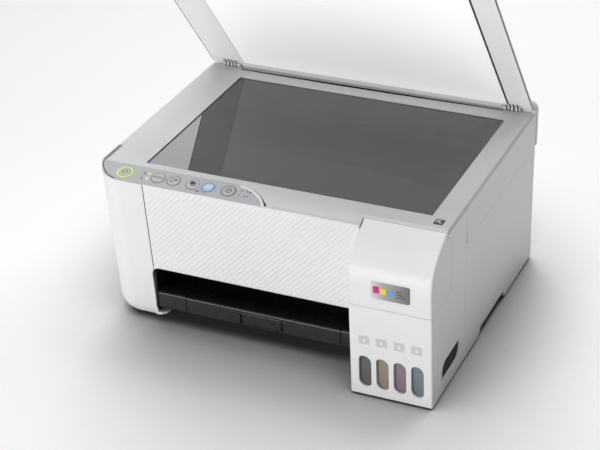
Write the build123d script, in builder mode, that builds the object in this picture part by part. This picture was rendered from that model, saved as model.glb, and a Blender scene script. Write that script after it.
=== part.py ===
"""Compact ink-tank inkjet printer with flatbed scanner, as an assembly of separate pieces.

Millimetres. X runs to the right as seen from the front, Y to the back, Z up. The origin is on the
surface that the feet stand on, below the middle of the footprint. The document lid is modelled open.
"""

import os
from math import acos, atan, cos, degrees, pi, radians, sin, sqrt, tan

from build123d import *

# Driving dimensions of the case
HALF_WIDTH = 187.5
BACK_Y = 151.5
REAR_LIMIT = 173.5
FLOOR = 3.0
WALL = 2.5
GAP = 0.4
SCANNER_TOP = 180.0
FRAME_BOTTOM = 175.6
SIDE_SEAM_Z = 137.0

# Front of the case: the panel leans back towards its foot
PANEL_TOP = (-141.3, 174.2)
PANEL_LEAN = 0.115
COLUMN_EDGE_X = -130.2
PANEL_SEAM = 0.6
BAY_LEFT_X = -132.5
BAY_TOP = 72.0
BAY_CORNER = 9.0
COLUMN_RADIUS = 32.0
CHIN_RADIUS = 20.0

# Ink tank unit at the front right
TANK_LEFT_X = 103.0
TANK_FOOT_Y = -167.3
TANK_LIP_Y = -172.2
TANK_LIP_Z = 106.0
TANK_NOSE = (-135.5, 132.0)
TANK_NOSE_RADIUS = 38.0
TANK_REAR_Y = -75.3
COVER_SIDE_Y = -118.0
COVER_TOP_Y = -131.9
COVER_CORNER = 13.0
COVER_HINGE = (-172.2, 106.3)
COVER_SWEEP = 79.0
TANK_PITCH = 17.95
TANK_FIRST_X = 118.6

# Scanner unit and lid
SCAN_HINGE = (144.0, 171.0)
SCAN_SEAM_RADIUS = 218.8
SCAN_BACK_Y = 148.0
GLASS_X = (-142.0, 163.7)
GLASS_Y = (-107.5, 114.3)
LID_HINGE = (141.3, 181.6)
LID_OPEN = 51.1
LID_DEPTH = 263.0
LID_THICKNESS = 6.1
COMB_X = 163.0
HAND_HOLD_Y = (-23.5, 51.5)

# Control strip
STRIP_REAR_Y = -117.4
STRIP_FRONT = (-141.2, 174.5)
STRIP_END_X = 3.5
BUTTON_Y = -128.8

# Paper path
PAPER_X = -12.0
PAPER_HALF = 112.0
FEED_AXIS = (12.0, 52.0)
EXIT_AXIS = (-54.0, 52.0)
ROLLER_RADIUS = 6.0
PICKUP_AXIS = (105.4, 83.7)
PICKUP_RADIUS = 14.0
HOPPER_TOP = (154.0, 132.0)
HOPPER_FOOT = (118.0, 62.0)
SUPPORT_TILT = 8.0

# Carriage drive and gears
RAIL_AXIS = (10.0, 100.0)
RAIL_RADIUS = 4.0
CARRIAGE_X = (95.0, 165.0)
PULLEY_X = 154.0
PULLEY_Z = 100.0
PULLEY_RADIUS = 7.0
GEAR_MODULE = 1.0
FEED_TEETH = 44
IDLER_TEETH = 22
PINION_TEETH = 16
GEAR_X = (-181.0, -175.5)
RUNNING = 0.06

os.makedirs("parts", exist_ok=True)


def write(piece, label):
    """Name a finished piece and save it."""
    piece.part.label = label
    export_step(piece.part, f"parts/{label}.step")


def block(x, y, z, mode=Mode.ADD):
    """A box whose extent along each axis is (low, high)."""
    with Locations(((x[0] + x[1]) / 2, (y[0] + y[1]) / 2, (z[0] + z[1]) / 2)):
        Box(x[1] - x[0], y[1] - y[0], z[1] - z[0], mode=mode)


def side_prism(points, x, mode=Mode.ADD):
    """A prism along X whose side view is a list of (y, z) corners."""
    with BuildSketch(Plane.YZ.offset(x[0])) as side:
        with BuildLine():
            Polyline(*points, close=True)
        make_face()
    extrude(side.sketch, amount=x[1] - x[0], mode=mode)


def plan_prism(points, z, mode=Mode.ADD):
    """A prism along Z whose plan view is a list of (x, y) corners."""
    with BuildSketch(Plane.XY.offset(z[0])) as plan:
        with BuildLine():
            Polyline(*points, close=True)
        make_face()
    extrude(plan.sketch, amount=z[1] - z[0], mode=mode)


def rod_x(centre, radius, x, mode=Mode.ADD):
    """A cylinder along X about (y, z)."""
    with BuildSketch(Plane.YZ.offset(x[0])) as disc:
        with Locations(centre):
            Circle(radius)
    extrude(disc.sketch, amount=x[1] - x[0], mode=mode)


def rod_y(centre, radius, y, mode=Mode.ADD):
    """A cylinder along Y about (x, z)."""
    with BuildSketch(Plane.XZ.offset(-y[1])) as disc:
        with Locations(centre):
            Circle(radius)
    extrude(disc.sketch, amount=y[1] - y[0], mode=mode)


def rod_z(centre, radius, z, mode=Mode.ADD):
    """A cylinder along Z about (x, y)."""
    with BuildSketch(Plane.XY.offset(z[0])) as disc:
        with Locations(centre):
            Circle(radius)
    extrude(disc.sketch, amount=z[1] - z[0], mode=mode)


def panel_y(z):
    """Outer face of the leaning front panel at height z."""
    return PANEL_TOP[0] + (PANEL_TOP[1] - z) * PANEL_LEAN


def seam_y(z, radius):
    """Y at height z on a circle about the scanner hinge, in front of it."""
    return SCAN_HINGE[0] - sqrt(radius**2 - (z - SCAN_HINGE[1]) ** 2)


def bay_opening(mode):
    """The mouth of the output bay, with its rounded upper left corner."""
    with BuildSketch(Plane.XZ.offset(100)) as mouth:
        with BuildLine():
            Line((BAY_LEFT_X, -20), (BAY_LEFT_X, BAY_TOP - BAY_CORNER))
            RadiusArc(
                (BAY_LEFT_X, BAY_TOP - BAY_CORNER),
                (BAY_LEFT_X + BAY_CORNER, BAY_TOP),
                BAY_CORNER,
            )
            Line((BAY_LEFT_X + BAY_CORNER, BAY_TOP), (TANK_LEFT_X + 20, BAY_TOP))
            Line((TANK_LEFT_X + 20, BAY_TOP), (TANK_LEFT_X + 20, -20))
            Line((TANK_LEFT_X + 20, -20), (BAY_LEFT_X, -20))
        make_face()
    extrude(mouth.sketch, amount=60, mode=mode)


def lift_zone(x):
    """Cut away what the scanner unit's skirt needs, along the circle it swings on."""
    low, high = SIDE_SEAM_Z - GAP, 230.0
    seam_top = FRAME_BOTTOM - GAP
    radius = SCAN_SEAM_RADIUS + GAP
    middle = (low + seam_top) / 2
    with BuildSketch(Plane.YZ.offset(x[0])) as zone:
        with BuildLine():
            ThreePointArc(
                (seam_y(low, radius), low),
                (seam_y(middle, radius), middle),
                (seam_y(seam_top, radius), seam_top),
            )
            Polyline(
                (seam_y(seam_top, radius), seam_top),
                (-200, seam_top),
                (-200, high),
                (200, high),
                (200, low),
                (seam_y(low, radius), low),
            )
        make_face()
    extrude(zone.sketch, amount=x[1] - x[0], mode=Mode.SUBTRACT)


def gear_outline(teeth, phase):
    """Corners of an involute gear with a tooth centred at angle phase, in radians."""
    pressure = radians(20)
    pitch = GEAR_MODULE * teeth / 2
    base = pitch * cos(pressure)
    root = pitch - 1.25 * GEAR_MODULE
    tip = pitch + 0.95 * GEAR_MODULE
    backlash = 0.16
    half = pi / (2 * teeth) - backlash / (2 * pitch)
    start = max(base, root)
    steps = 4
    flank = []
    for step in range(steps + 1):
        radius = start + (tip - start) * step / steps
        angle = acos(min(1.0, base / radius))
        flank.append((radius, half + tan(pressure) - pressure - tan(angle) + angle))
    if root < base:
        flank.insert(0, (root, flank[0][1]))
    corners = []
    for tooth in range(teeth):
        centre = phase + 2 * pi * tooth / teeth
        corners += [(r, centre - a) for r, a in flank]
        corners += [(r, centre + a) for r, a in reversed(flank)]
    return [(r * cos(a), r * sin(a)) for r, a in corners]


def gear(teeth, centre, phase, x):
    """A spur gear with its axis along X."""
    outline = [(centre[0] + u, centre[1] + v) for u, v in gear_outline(teeth, phase)]
    side_prism(outline, x)


# ---------------------------------------------------------------- case

PAN_FRONT_Y = -91.0
with BuildPart() as base_pan:
    plan_prism(
        [
            (-168.0, -111.0),
            (BAY_LEFT_X - 2.0, -111.0),
            (BAY_LEFT_X - 2.0, PAN_FRONT_Y),
            (TANK_LEFT_X - GAP, PAN_FRONT_Y),
            (TANK_LEFT_X - GAP, TANK_REAR_Y + GAP),
            (184.6, TANK_REAR_Y + GAP),
            (184.6, 148.6),
            (-168.0, 148.6),
        ],
        (FLOOR, FLOOR + WALL),
    )
    block((-168, BAY_LEFT_X - 2.0), (-111, -108.5), (FLOOR, 11))
    block((BAY_LEFT_X - 4.5, BAY_LEFT_X - 2.0), (-111, PAN_FRONT_Y), (FLOOR, 11))
    block((BAY_LEFT_X - 4.5, TANK_LEFT_X - GAP), (PAN_FRONT_Y, PAN_FRONT_Y + 2.5), (FLOOR, 11))
    block((-168, -165.5), (-111, 148.6), (FLOOR, 8.5))
    block((182.1, 184.6), (TANK_REAR_Y + GAP, 148.6), (FLOOR, 16))
    # way in for the fingers at the hand hold
    block((180, 190), (HAND_HOLD_Y[0] - 3, HAND_HOLD_Y[1] + 3), (FLOOR + WALL, 20), mode=Mode.SUBTRACT)
    for rib_y in (-64, 60, 132):
        block((-165.5, 182.1), (rib_y, rib_y + 2), (FLOOR, 8))
write(base_pan, "base_pan")

with BuildPart() as rubber_feet:
    for foot in ((-150, -95), (-150, 132), (155, 132), (145, -150)):
        rod_z(foot, 8, (0, FLOOR))
    chamfer(rubber_feet.edges().group_by(Axis.Z)[0], 0.6)
write(rubber_feet, "rubber_feet")


def left_case(inset, right_x):
    """The left side of the case as a solid, set in from the outer surface."""
    bottom = FLOOR + inset
    height = FRAME_BOTTOM + 5 - bottom
    front = panel_y(bottom) + inset
    left = -HALF_WIDTH + inset
    with BuildPart() as solid:
        with BuildSketch(Plane.XY.offset(bottom)) as plan:
            with BuildLine():
                Polyline((left, front), (right_x, front), (right_x, 210), (left, 210), close=True)
            make_face()
            corner = plan.vertices().group_by(Axis.Y)[0].sort_by(Axis.X)[0]
            fillet(corner, COLUMN_RADIUS - inset)
        extrude(amount=height * sqrt(1 + PANEL_LEAN**2), dir=(0, -PANEL_LEAN, 1))
        low_edges = solid.edges().group_by(Axis.Z)[0]
        fillet(
            [e for e in low_edges if e.center().X < right_x - 1 and e.center().Y < 185],
            CHIN_RADIUS - inset,
        )
    return solid.part


left_outside = left_case(0, COLUMN_EDGE_X - GAP / 2)
left_inside = left_case(WALL, COLUMN_EDGE_X + 10)
with BuildPart() as left_cover:
    add(left_outside)
    add(left_inside, mode=Mode.SUBTRACT)
    block((-200, 0), (BACK_Y, 300), (-10, 300), mode=Mode.SUBTRACT)
    block((-168.4, 0), (-111.4, 300), (-10, 30), mode=Mode.SUBTRACT)
    bay_opening(Mode.SUBTRACT)
    lift_zone((-200, 0))
    # finger recess below the scanner frame's left edge
    block((-200, -184), (STRIP_REAR_Y, -79), (171.5, 200), mode=Mode.SUBTRACT)
    # top of the column, under the control strip
    block((-200, 0), (-200, STRIP_REAR_Y), (PANEL_TOP[1] - 0.3, 200), mode=Mode.SUBTRACT)
    # rear return
    block((-185, -157), (BACK_Y - WALL, BACK_Y), (FLOOR + 14, SIDE_SEAM_Z - GAP))
write(left_cover, "left_cover")

with BuildPart() as right_cover:
    block((155, HALF_WIDTH), (TANK_REAR_Y + GAP, BACK_Y), (FLOOR, SIDE_SEAM_Z - GAP))
    fillet(
        right_cover.edges().filter_by(Axis.Z).group_by(Axis.Y)[-1].sort_by(Axis.X)[-1], 4
    )
    block((150, HALF_WIDTH - WALL), (-100, BACK_Y - WALL), (0, 200), mode=Mode.SUBTRACT)
    # hand hold in the lower edge
    low, high = HAND_HOLD_Y
    side_prism([(low - 6, 0), (low, 11.5), (high, 11.5), (high + 6, 0)], (180, 190), mode=Mode.SUBTRACT)
write(right_cover, "right_cover")

INLET_X = (122.0, 150.0)
INLET_Z = (16.0, 38.0)
USB_X = (-132.0, -118.0)
USB_Z = (17.0, 30.0)
HOPPER_X = (PAPER_X - PAPER_HALF - 2, PAPER_X + PAPER_HALF + 2)

with BuildPart() as rear_cover:
    block((-156.6, 154.6), (BACK_Y - WALL, BACK_Y), (FLOOR, SIDE_SEAM_Z - GAP))
    block(HOPPER_X, (140, 160), (56, 150), mode=Mode.SUBTRACT)
    block(INLET_X, (140, 160), INLET_Z, mode=Mode.SUBTRACT)
    block(USB_X, (140, 160), USB_Z, mode=Mode.SUBTRACT)
    for slot in range(9):
        block((-70 + 9 * slot, -65 + 9 * slot), (140, 160), (22, 40), mode=Mode.SUBTRACT)
write(rear_cover, "rear_cover")

with BuildPart() as feeder_housing:
    outer = [
        (BACK_Y + 0.2, 50),
        (REAR_LIMIT, 94),
        (REAR_LIMIT, 183),
        (REAR_LIMIT - 4, 187),
        (BACK_Y + 0.5, 187),
        (BACK_Y + 0.5, SIDE_SEAM_Z),
        (BACK_Y + 0.2, SIDE_SEAM_Z),
    ]
    side_prism(outer, (-165, 165))
    side_prism(
        [
            (BACK_Y + 0.5, SIDE_SEAM_Z),
            (156, SIDE_SEAM_Z),
            (156, 187),
            (BACK_Y + 0.5, 187),
        ],
        (-HALF_WIDTH, HALF_WIDTH),
    )
    wings = feeder_housing.edges().filter_by(Axis.Y).group_by(Axis.Z)[-1]
    fillet([e for e in wings if abs(e.center().X) > HALF_WIDTH - 1], 9)
    fillet(
        [
            e
            for e in feeder_housing.edges().filter_by(Axis.Z)
            if abs(e.center().X) > 164 and e.center().Y > 172
        ],
        8,
    )
    inner = [
        (BACK_Y, 56),
        (REAR_LIMIT - WALL, 95),
        (REAR_LIMIT - WALL, 182),
        (REAR_LIMIT - 5, 184.5),
        (BACK_Y + 3, 184.5),
        (BACK_Y + 3, SIDE_SEAM_Z + 3),
        (BACK_Y, SIDE_SEAM_Z - 1),
    ]
    cheek_low, cheek_high = HOPPER_X[0] - 4, HOPPER_X[1] + 4
    for cavity in ((-162.5, cheek_low - WALL), (cheek_low, cheek_high), (cheek_high + WALL, 162.5)):
        side_prism(inner, cavity, mode=Mode.SUBTRACT)
    rod_x(HOPPER_TOP, 1.5 + RUNNING, (cheek_low - 5, cheek_high + 5), mode=Mode.SUBTRACT)
    block(HOPPER_X, (154.5, 169.4), (180, 190), mode=Mode.SUBTRACT)
write(feeder_housing, "feeder_housing")

with BuildPart() as front_panel:
    foot_z = BAY_TOP - BAY_CORNER
    side_prism(
        [
            (panel_y(foot_z), foot_z),
            (panel_y(PANEL_TOP[1]), PANEL_TOP[1]),
            (panel_y(PANEL_TOP[1]) + WALL, PANEL_TOP[1]),
            (panel_y(foot_z) + WALL, foot_z),
        ],
        (COLUMN_EDGE_X + PANEL_SEAM, TANK_LEFT_X - GAP),
    )
    bay_opening(Mode.SUBTRACT)
    # stiffening ribs behind the panel
    for rib_x in (-110, -50, 10, 70):
        side_prism(
            [
                (panel_y(80) + WALL, 80),
                (panel_y(150) + WALL, 150),
                (panel_y(150) + 7, 148),
                (panel_y(80) + 7, 82),
            ],
            (rib_x, rib_x + 1.6),
        )
write(front_panel, "front_panel")

# ---------------------------------------------------------------- control strip

STRIP_SLOPE = (SCANNER_TOP - STRIP_FRONT[1]) / (STRIP_REAR_Y - STRIP_FRONT[0])
STRIP_TILT = degrees(atan(STRIP_SLOPE))
STRIP_NORMAL = Vector(0, -sin(radians(STRIP_TILT)), cos(radians(STRIP_TILT)))


def strip_z(y):
    """Height of the control strip's top face."""
    return SCANNER_TOP - (STRIP_REAR_Y - y) * STRIP_SLOPE


def strip_plane(x, y, lift=0.0):
    """A plane on the strip's face, Z out of it, raised by lift."""
    origin = Vector(x, y, strip_z(y)) + STRIP_NORMAL * lift
    return Plane(origin=origin, x_dir=(1, 0, 0), z_dir=STRIP_NORMAL)


# Buttons: name, centre along X, radius
BUTTONS = (
    ("power_button", -155.2, 6.0),
    ("network_button", -117.4, 6.8),
    ("info_button", -100.5, 6.4),
    ("copy_mono_button", -79.0, 6.6),
    ("copy_color_button", -62.3, 5.8),
    ("stop_button", -40.2, 6.4),
)
LIGHTS = ((-129.0, -125.1), (-128.6, -132.6), (-27.5, -124.6), (-27.3, -131.4))
LIGHT_SIDE = 2.4


def strip_plan(end_x, rear_y, front_y):
    """Plan outline of the strip: rounded left end, curved right end."""
    corner_x = -HALF_WIDTH + COLUMN_RADIUS
    corner_y = front_y + COLUMN_RADIUS
    reach = sqrt(COLUMN_RADIUS**2 - (corner_y - rear_y) ** 2)
    with BuildSketch(Plane.XY.offset(160)) as plan:
        with BuildLine():
            RadiusArc((corner_x, front_y), (corner_x - reach, rear_y), COLUMN_RADIUS)
            Line((corner_x - reach, rear_y), (end_x - 35, rear_y))
            ThreePointArc((end_x - 35, rear_y), (end_x - 16.5, rear_y - 6.2), (end_x, front_y))
            Line((end_x, front_y), (corner_x, front_y))
        make_face()
    return plan.sketch


with BuildPart() as control_panel:
    side_prism(
        [
            (STRIP_REAR_Y, SCANNER_TOP),
            (STRIP_FRONT[0], STRIP_FRONT[1]),
            (STRIP_FRONT[0], PANEL_TOP[1]),
            (-136.5, PANEL_TOP[1]),
            (-136.5, PANEL_TOP[1] - 1.5),
            (STRIP_REAR_Y, PANEL_TOP[1] - 1.5),
        ],
        (-HALF_WIDTH, STRIP_END_X),
    )
    extrude(
        strip_plan(STRIP_END_X, STRIP_REAR_Y, STRIP_FRONT[0]),
        amount=30,
        mode=Mode.INTERSECT,
    )
    # clear of the column wall that stands under the left end
    block((-200, -120), (-150, STRIP_REAR_Y + 5), (160, PANEL_TOP[1]), mode=Mode.SUBTRACT)
    for name, centre_x, radius in BUTTONS:
        with BuildSketch(strip_plane(centre_x, BUTTON_Y, 1)) as hole:
            Circle(radius + 0.3)
        extrude(hole.sketch, amount=-20, mode=Mode.SUBTRACT)
    for light in LIGHTS:
        with BuildSketch(strip_plane(light[0], light[1], 1)) as hole:
            Rectangle(LIGHT_SIDE, LIGHT_SIDE)
        extrude(hole.sketch, amount=-20, mode=Mode.SUBTRACT)
write(control_panel, "control_panel")

for name, centre_x, radius in BUTTONS:
    with BuildPart() as button:
        with BuildSketch(strip_plane(centre_x, BUTTON_Y, 0.5)) as cap:
            Circle(radius)
        extrude(cap.sketch, amount=-4)
        fillet(button.edges().group_by(Axis.Z)[-1], 0.4)
    write(button, name)

with BuildPart() as status_lights:
    for light in LIGHTS:
        with BuildSketch(strip_plane(light[0], light[1], 0.1)) as lens:
            Rectangle(LIGHT_SIDE, LIGHT_SIDE)
        extrude(lens.sketch, amount=-2)
write(status_lights, "status_lights")

# ---------------------------------------------------------------- ink tank unit


def nose_outline(inset):
    """Side view of the tank unit's rounded front above the lip, set in by inset.

    Runs from the lip up round the nose and along the slope; returns the nose arc's
    start, middle and end and the slope's far end.
    """
    radius = TANK_NOSE_RADIUS - inset
    start, middle, end = [
        (
            TANK_NOSE[0] - radius * cos(radians(angle)),
            TANK_NOSE[1] + radius * sin(radians(angle)),
        )
        for angle in (0, 30, 60)
    ]
    run = COVER_TOP_Y - end[0]
    far = (COVER_TOP_Y, end[1] + run * tan(radians(30)))
    return start, middle, end, far


def corner_arc(edge_y, radius):
    """Arc round the cover's lower rear corner, whose rear edge is at edge_y."""
    centre = (COVER_SIDE_Y - COVER_CORNER, TANK_LIP_Z + GAP + COVER_CORNER)
    half = radius * cos(radians(45))
    ThreePointArc(
        (edge_y, centre[1]),
        (centre[0] + half, centre[1] - half),
        (centre[0], centre[1] - radius),
    )


def cover_profile(inset, x, mode):
    """The tank cover's side view; its rear edge clears the scanner frame as it swings."""
    start, middle, end, far = nose_outline(inset)
    sweep = COVER_SWEEP - inset
    upper = (COVER_TOP_Y, COVER_HINGE[1] + sqrt(sweep**2 - (COVER_TOP_Y - COVER_HINGE[0]) ** 2))
    side_y = COVER_SIDE_Y
    lower = (side_y, COVER_HINGE[1] + sqrt(sweep**2 - (side_y - COVER_HINGE[0]) ** 2))
    middle_y = (COVER_TOP_Y + side_y) / 2
    between = (middle_y, COVER_HINGE[1] + sqrt(sweep**2 - (middle_y - COVER_HINGE[0]) ** 2))
    lip_z = TANK_LIP_Z + GAP
    with BuildSketch(Plane.YZ.offset(x[0])) as side:
        with BuildLine():
            Line((TANK_LIP_Y + inset, lip_z), start)
            ThreePointArc(start, middle, end)
            Line(end, far)
            Line(far, upper)
            ThreePointArc(upper, between, lower)
            Line(lower, (side_y, lip_z + COVER_CORNER))
            corner_arc(side_y, COVER_CORNER)
            Line((side_y - COVER_CORNER, lip_z), (TANK_LIP_Y + inset, lip_z))
        make_face()
    extrude(side.sketch, amount=x[1] - x[0], mode=mode)


COVER_X = (TANK_LEFT_X + 0.2, HALF_WIDTH)
with BuildPart() as tank_cover:
    cover_profile(0, COVER_X, Mode.ADD)
    rim = [
        e
        for e in tank_cover.edges()
        if e.center().Y < COVER_TOP_Y - 1
        and e.center().Z > TANK_LIP_Z + 5
        and not e.geom_type == GeomType.LINE
    ]
    rim += [
        e
        for e in tank_cover.edges()
        if e.geom_type == GeomType.LINE
        and abs(e.tangent_at(0.5).X) < 0.1
        and e.center().Y < -140
        and e.center().Z > TANK_LIP_Z + 5
    ]
    fillet(rim, 2.2)
    cover_profile(WALL, (COVER_X[0] + WALL, COVER_X[1] - WALL), Mode.SUBTRACT)
    block(
        (COVER_X[0] + WALL, COVER_X[1] - WALL),
        (TANK_LIP_Y + 5, COVER_SIDE_Y + 5),
        (TANK_LIP_Z - 5, 150),
        mode=Mode.SUBTRACT,
    )
    block(
        (COVER_X[0] + WALL, COVER_X[1] - WALL),
        (COVER_TOP_Y + 0.01, COVER_SIDE_Y + 5),
        (TANK_LIP_Z - 5, 200),
        mode=Mode.SUBTRACT,
    )
write(tank_cover, "tank_cover")

WINDOW_Z = (12.4, 48.5)
WINDOW_WIDTH = 13.0
WINDOW_ROUND = 7.6
WINDOW_TIGHT = 5.2
LEAF_Y = (-140.5, -91.0)
LEAF_Z = (18.5, 37.5)
LEAF_ROUND = 11.0
with BuildPart() as tank_housing:
    wall_top = FRAME_BOTTOM - GAP
    side_prism(
        [
            (TANK_FOOT_Y, FLOOR),
            (TANK_LIP_Y, TANK_LIP_Z),
            (COVER_SIDE_Y + GAP, TANK_LIP_Z),
            (COVER_SIDE_Y + GAP, wall_top),
            (TANK_REAR_Y, wall_top),
            (TANK_REAR_Y, FLOOR),
        ],
        (TANK_LEFT_X, HALF_WIDTH),
    )
    corner_edges = [
        e
        for e in tank_housing.edges()
        if e.geom_type == GeomType.LINE and e.center().Y < -168 and abs(e.tangent_at(0.5).Z) > 0.9
    ]
    fillet(corner_edges, 2.0)
    side_prism(
        [
            (TANK_LIP_Y + 4, TANK_LIP_Z - 1),
            (COVER_SIDE_Y + 1, TANK_LIP_Z - 1),
            (COVER_SIDE_Y + 1, wall_top),
            (COVER_TOP_Y + GAP, wall_top),
        ],
        (HALF_WIDTH - WALL, HALF_WIDTH),
    )
    # room for the cover, and the circle on which its rear corner swings
    with BuildSketch(Plane.YZ.offset(TANK_LEFT_X - 1)) as swing:
        with Locations(COVER_HINGE):
            Circle(COVER_SWEEP + GAP)
        with Locations((-145, 150)):
            Rectangle(2 * (145 + COVER_SIDE_Y + GAP), 2 * (150 - TANK_LIP_Z), mode=Mode.INTERSECT)
    extrude(swing.sketch, amount=100, mode=Mode.SUBTRACT)
    block((TANK_LEFT_X - 1, HALF_WIDTH - WALL), (-200, -50), (TANK_LIP_Z, 200), mode=Mode.SUBTRACT)
    lift_zone((TANK_LEFT_X - 1, HALF_WIDTH + 1))
    # side wall fills the corner under the cover's rounded lower rear corner
    with BuildSketch(Plane.YZ.offset(HALF_WIDTH - WALL)) as web:
        with BuildLine():
            corner_arc(COVER_SIDE_Y + GAP, COVER_CORNER + GAP)
            Polyline(
                (COVER_SIDE_Y - COVER_CORNER, TANK_LIP_Z),
                (COVER_SIDE_Y + GAP, TANK_LIP_Z),
                (COVER_SIDE_Y + GAP, TANK_LIP_Z + GAP + COVER_CORNER),
            )
        make_face()
    extrude(web.sketch, amount=WALL)
    # hollow: open at the top, over the ink tanks
    side_prism(
        [
            (TANK_FOOT_Y + WALL, FLOOR + WALL),
            (TANK_LIP_Y + WALL - 0.2, TANK_LIP_Z + 10),
            (TANK_REAR_Y - WALL, TANK_LIP_Z + 10),
            (TANK_REAR_Y - WALL, FLOOR + WALL),
        ],
        (TANK_LEFT_X + WALL, HALF_WIDTH - WALL),
        mode=Mode.SUBTRACT,
    )
    # four windows in the front, rounder at the upper right and lower left
    for index in range(4):
        centre_x = TANK_FIRST_X + TANK_PITCH * index
        with BuildSketch(Plane.XZ.offset(140)) as window:
            with Locations((centre_x, sum(WINDOW_Z) / 2)):
                Rectangle(WINDOW_WIDTH, WINDOW_Z[1] - WINDOW_Z[0])
            low = window.vertices().group_by(Axis.Y)[0].sort_by(Axis.X)
            high = window.vertices().group_by(Axis.Y)[-1].sort_by(Axis.X)
            fillet([low[0], high[1]], WINDOW_ROUND)
            low = window.vertices().group_by(Axis.Y)[0].sort_by(Axis.X)
            high = window.vertices().group_by(Axis.Y)[-1].sort_by(Axis.X)
            fillet([low[-1], high[0]], WINDOW_TIGHT)
        extrude(window.sketch, amount=60, mode=Mode.SUBTRACT)
    # leaf-shaped side window
    with BuildSketch(Plane.YZ.offset(HALF_WIDTH - 10)) as leaf:
        with Locations((sum(LEAF_Y) / 2, sum(LEAF_Z) / 2)):
            Rectangle(LEAF_Y[1] - LEAF_Y[0], LEAF_Z[1] - LEAF_Z[0])
        low = leaf.vertices().group_by(Axis.Y)[0].sort_by(Axis.X)
        high = leaf.vertices().group_by(Axis.Y)[-1].sort_by(Axis.X)
        fillet([low[1], high[0]], LEAF_ROUND)
    extrude(leaf.sketch, amount=20, mode=Mode.SUBTRACT)
write(tank_housing, "tank_housing")

INK_NAMES = ("black", "yellow", "magenta", "cyan")
TANK_HALF = 8.2
TANK_Z = (7.0, 94.0)
PORT_Y = -140.0
CAP_HINGE = (-121.0, 100.5)
for index, ink in enumerate(INK_NAMES):
    centre_x = TANK_FIRST_X + TANK_PITCH * index
    tank_x = (centre_x - TANK_HALF, centre_x + TANK_HALF)
    front_low = TANK_FOOT_Y + WALL + 0.6
    front_high = TANK_LIP_Y + WALL + 1.2
    with BuildPart() as ink_tank:
        side_prism(
            [(front_low, TANK_Z[0]), (front_high, TANK_Z[1]), (-84, TANK_Z[1]), (-84, TANK_Z[0])],
            tank_x,
        )
        side_prism(
            [
                (front_low + 1.6, TANK_Z[0] + 1.6),
                (front_high + 1.6, TANK_Z[1] - 1.6),
                (-85.6, TANK_Z[1] - 1.6),
                (-85.6, TANK_Z[0] + 1.6),
            ],
            (tank_x[0] + 1.5, tank_x[1] - 1.5),
            mode=Mode.SUBTRACT,
        )
        # filler port and the two ears that hold the cap's pin
        rod_z((centre_x, PORT_Y), 4.5, (TANK_Z[1] - 1, 99.5))
        rod_z((centre_x, PORT_Y), 2.6, (TANK_Z[1] - 3, 105), mode=Mode.SUBTRACT)
        for ear in (-6.4, 4.9):
            block(
                (centre_x + ear, centre_x + ear + 1.5),
                (CAP_HINGE[0] - 3, CAP_HINGE[0] + 3),
                (TANK_Z[1] - 1, CAP_HINGE[1] + 2.5),
            )
            rod_x(CAP_HINGE, 1.25, (centre_x + ear - 1, centre_x + ear + 3), mode=Mode.SUBTRACT)
    write(ink_tank, f"ink_tank_{ink}")

    with BuildPart() as ink_cap:
        rod_z((centre_x, PORT_Y), 7.0, (99.8, 105.0))
        block((centre_x - 4.5, centre_x + 4.5), (PORT_Y, CAP_HINGE[0]), (102.0, 104.2))
        rod_x(CAP_HINGE, 2.3, (centre_x - 4.5, centre_x + 4.5))
        block((centre_x - 4.5, centre_x + 4.5), (CAP_HINGE[0] - 2.3, CAP_HINGE[0]), (100.5, 104.2))
        block((centre_x - 4, centre_x + 4), (PORT_Y - 11, PORT_Y - 5), (102.6, 104.4))
        rod_z((centre_x, PORT_Y), 5.5, (98, 101.5), mode=Mode.SUBTRACT)
        rod_x(CAP_HINGE, 1.2, (centre_x - 6.2, centre_x + 6.2))
    write(ink_cap, f"ink_cap_{ink}")

# ---------------------------------------------------------------- output bay and trays

BAY_RIGHT_X = TANK_LEFT_X - 0.6
TRAY_X = (-97.2, 74.2)
TRAY_TOP = 40.0
TRAY_FRONT_Y = -124.0
TRAY_LIP = 2.3
TRAY_FOOT_Z = 22.0
TRAY_SEAM = (1.1, 0.7)
with BuildPart() as bay_housing:
    bay_x = (BAY_LEFT_X + 0.2, BAY_RIGHT_X)
    block(bay_x, (-125, -64), (12, BAY_TOP + 2.4))
    side_prism(
        [(-126, 90), (-126, BAY_TOP), (-125.2, BAY_TOP), (-118, 60), (-118, 90)],
        (-140, BAY_LEFT_X + 2.2),
        mode=Mode.SUBTRACT,
    )
    block((bay_x[0] + 2, bay_x[1] - 2), (-130, -60), (14.5, BAY_TOP), mode=Mode.SUBTRACT)
    for rib_x in (-118, -92, -14, 64, 88):
        block((rib_x, rib_x + 1.5), (-118, -64), (BAY_TOP - 4, BAY_TOP + 0.5))
    # hollow ledges either side of the tray
    ledges = (
        (bay_x[0] + 1, TRAY_X[0] - TRAY_SEAM[0]),
        (TRAY_X[1] + TRAY_SEAM[1], bay_x[1] - 1),
    )
    for ledge_x in ledges:
        block(ledge_x, (TRAY_FRONT_Y + 0.5, -64), (12, TRAY_TOP))
        block((ledge_x[0] + 3, ledge_x[1] - 3), (-121, -60), (15, TRAY_TOP - 2), mode=Mode.SUBTRACT)
    fillet(
        [
            e
            for e in bay_housing.edges().filter_by(Axis.X)
            if e.center().Y < -122 and abs(e.center().Z - TRAY_TOP) < 0.1
        ],
        TRAY_LIP,
    )
    # the front stands clear of the table
    block((bay_x[0] - 1, bay_x[1] + 1), (-130, -108), (0, TRAY_FOOT_Z), mode=Mode.SUBTRACT)
write(bay_housing, "bay_housing")

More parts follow.
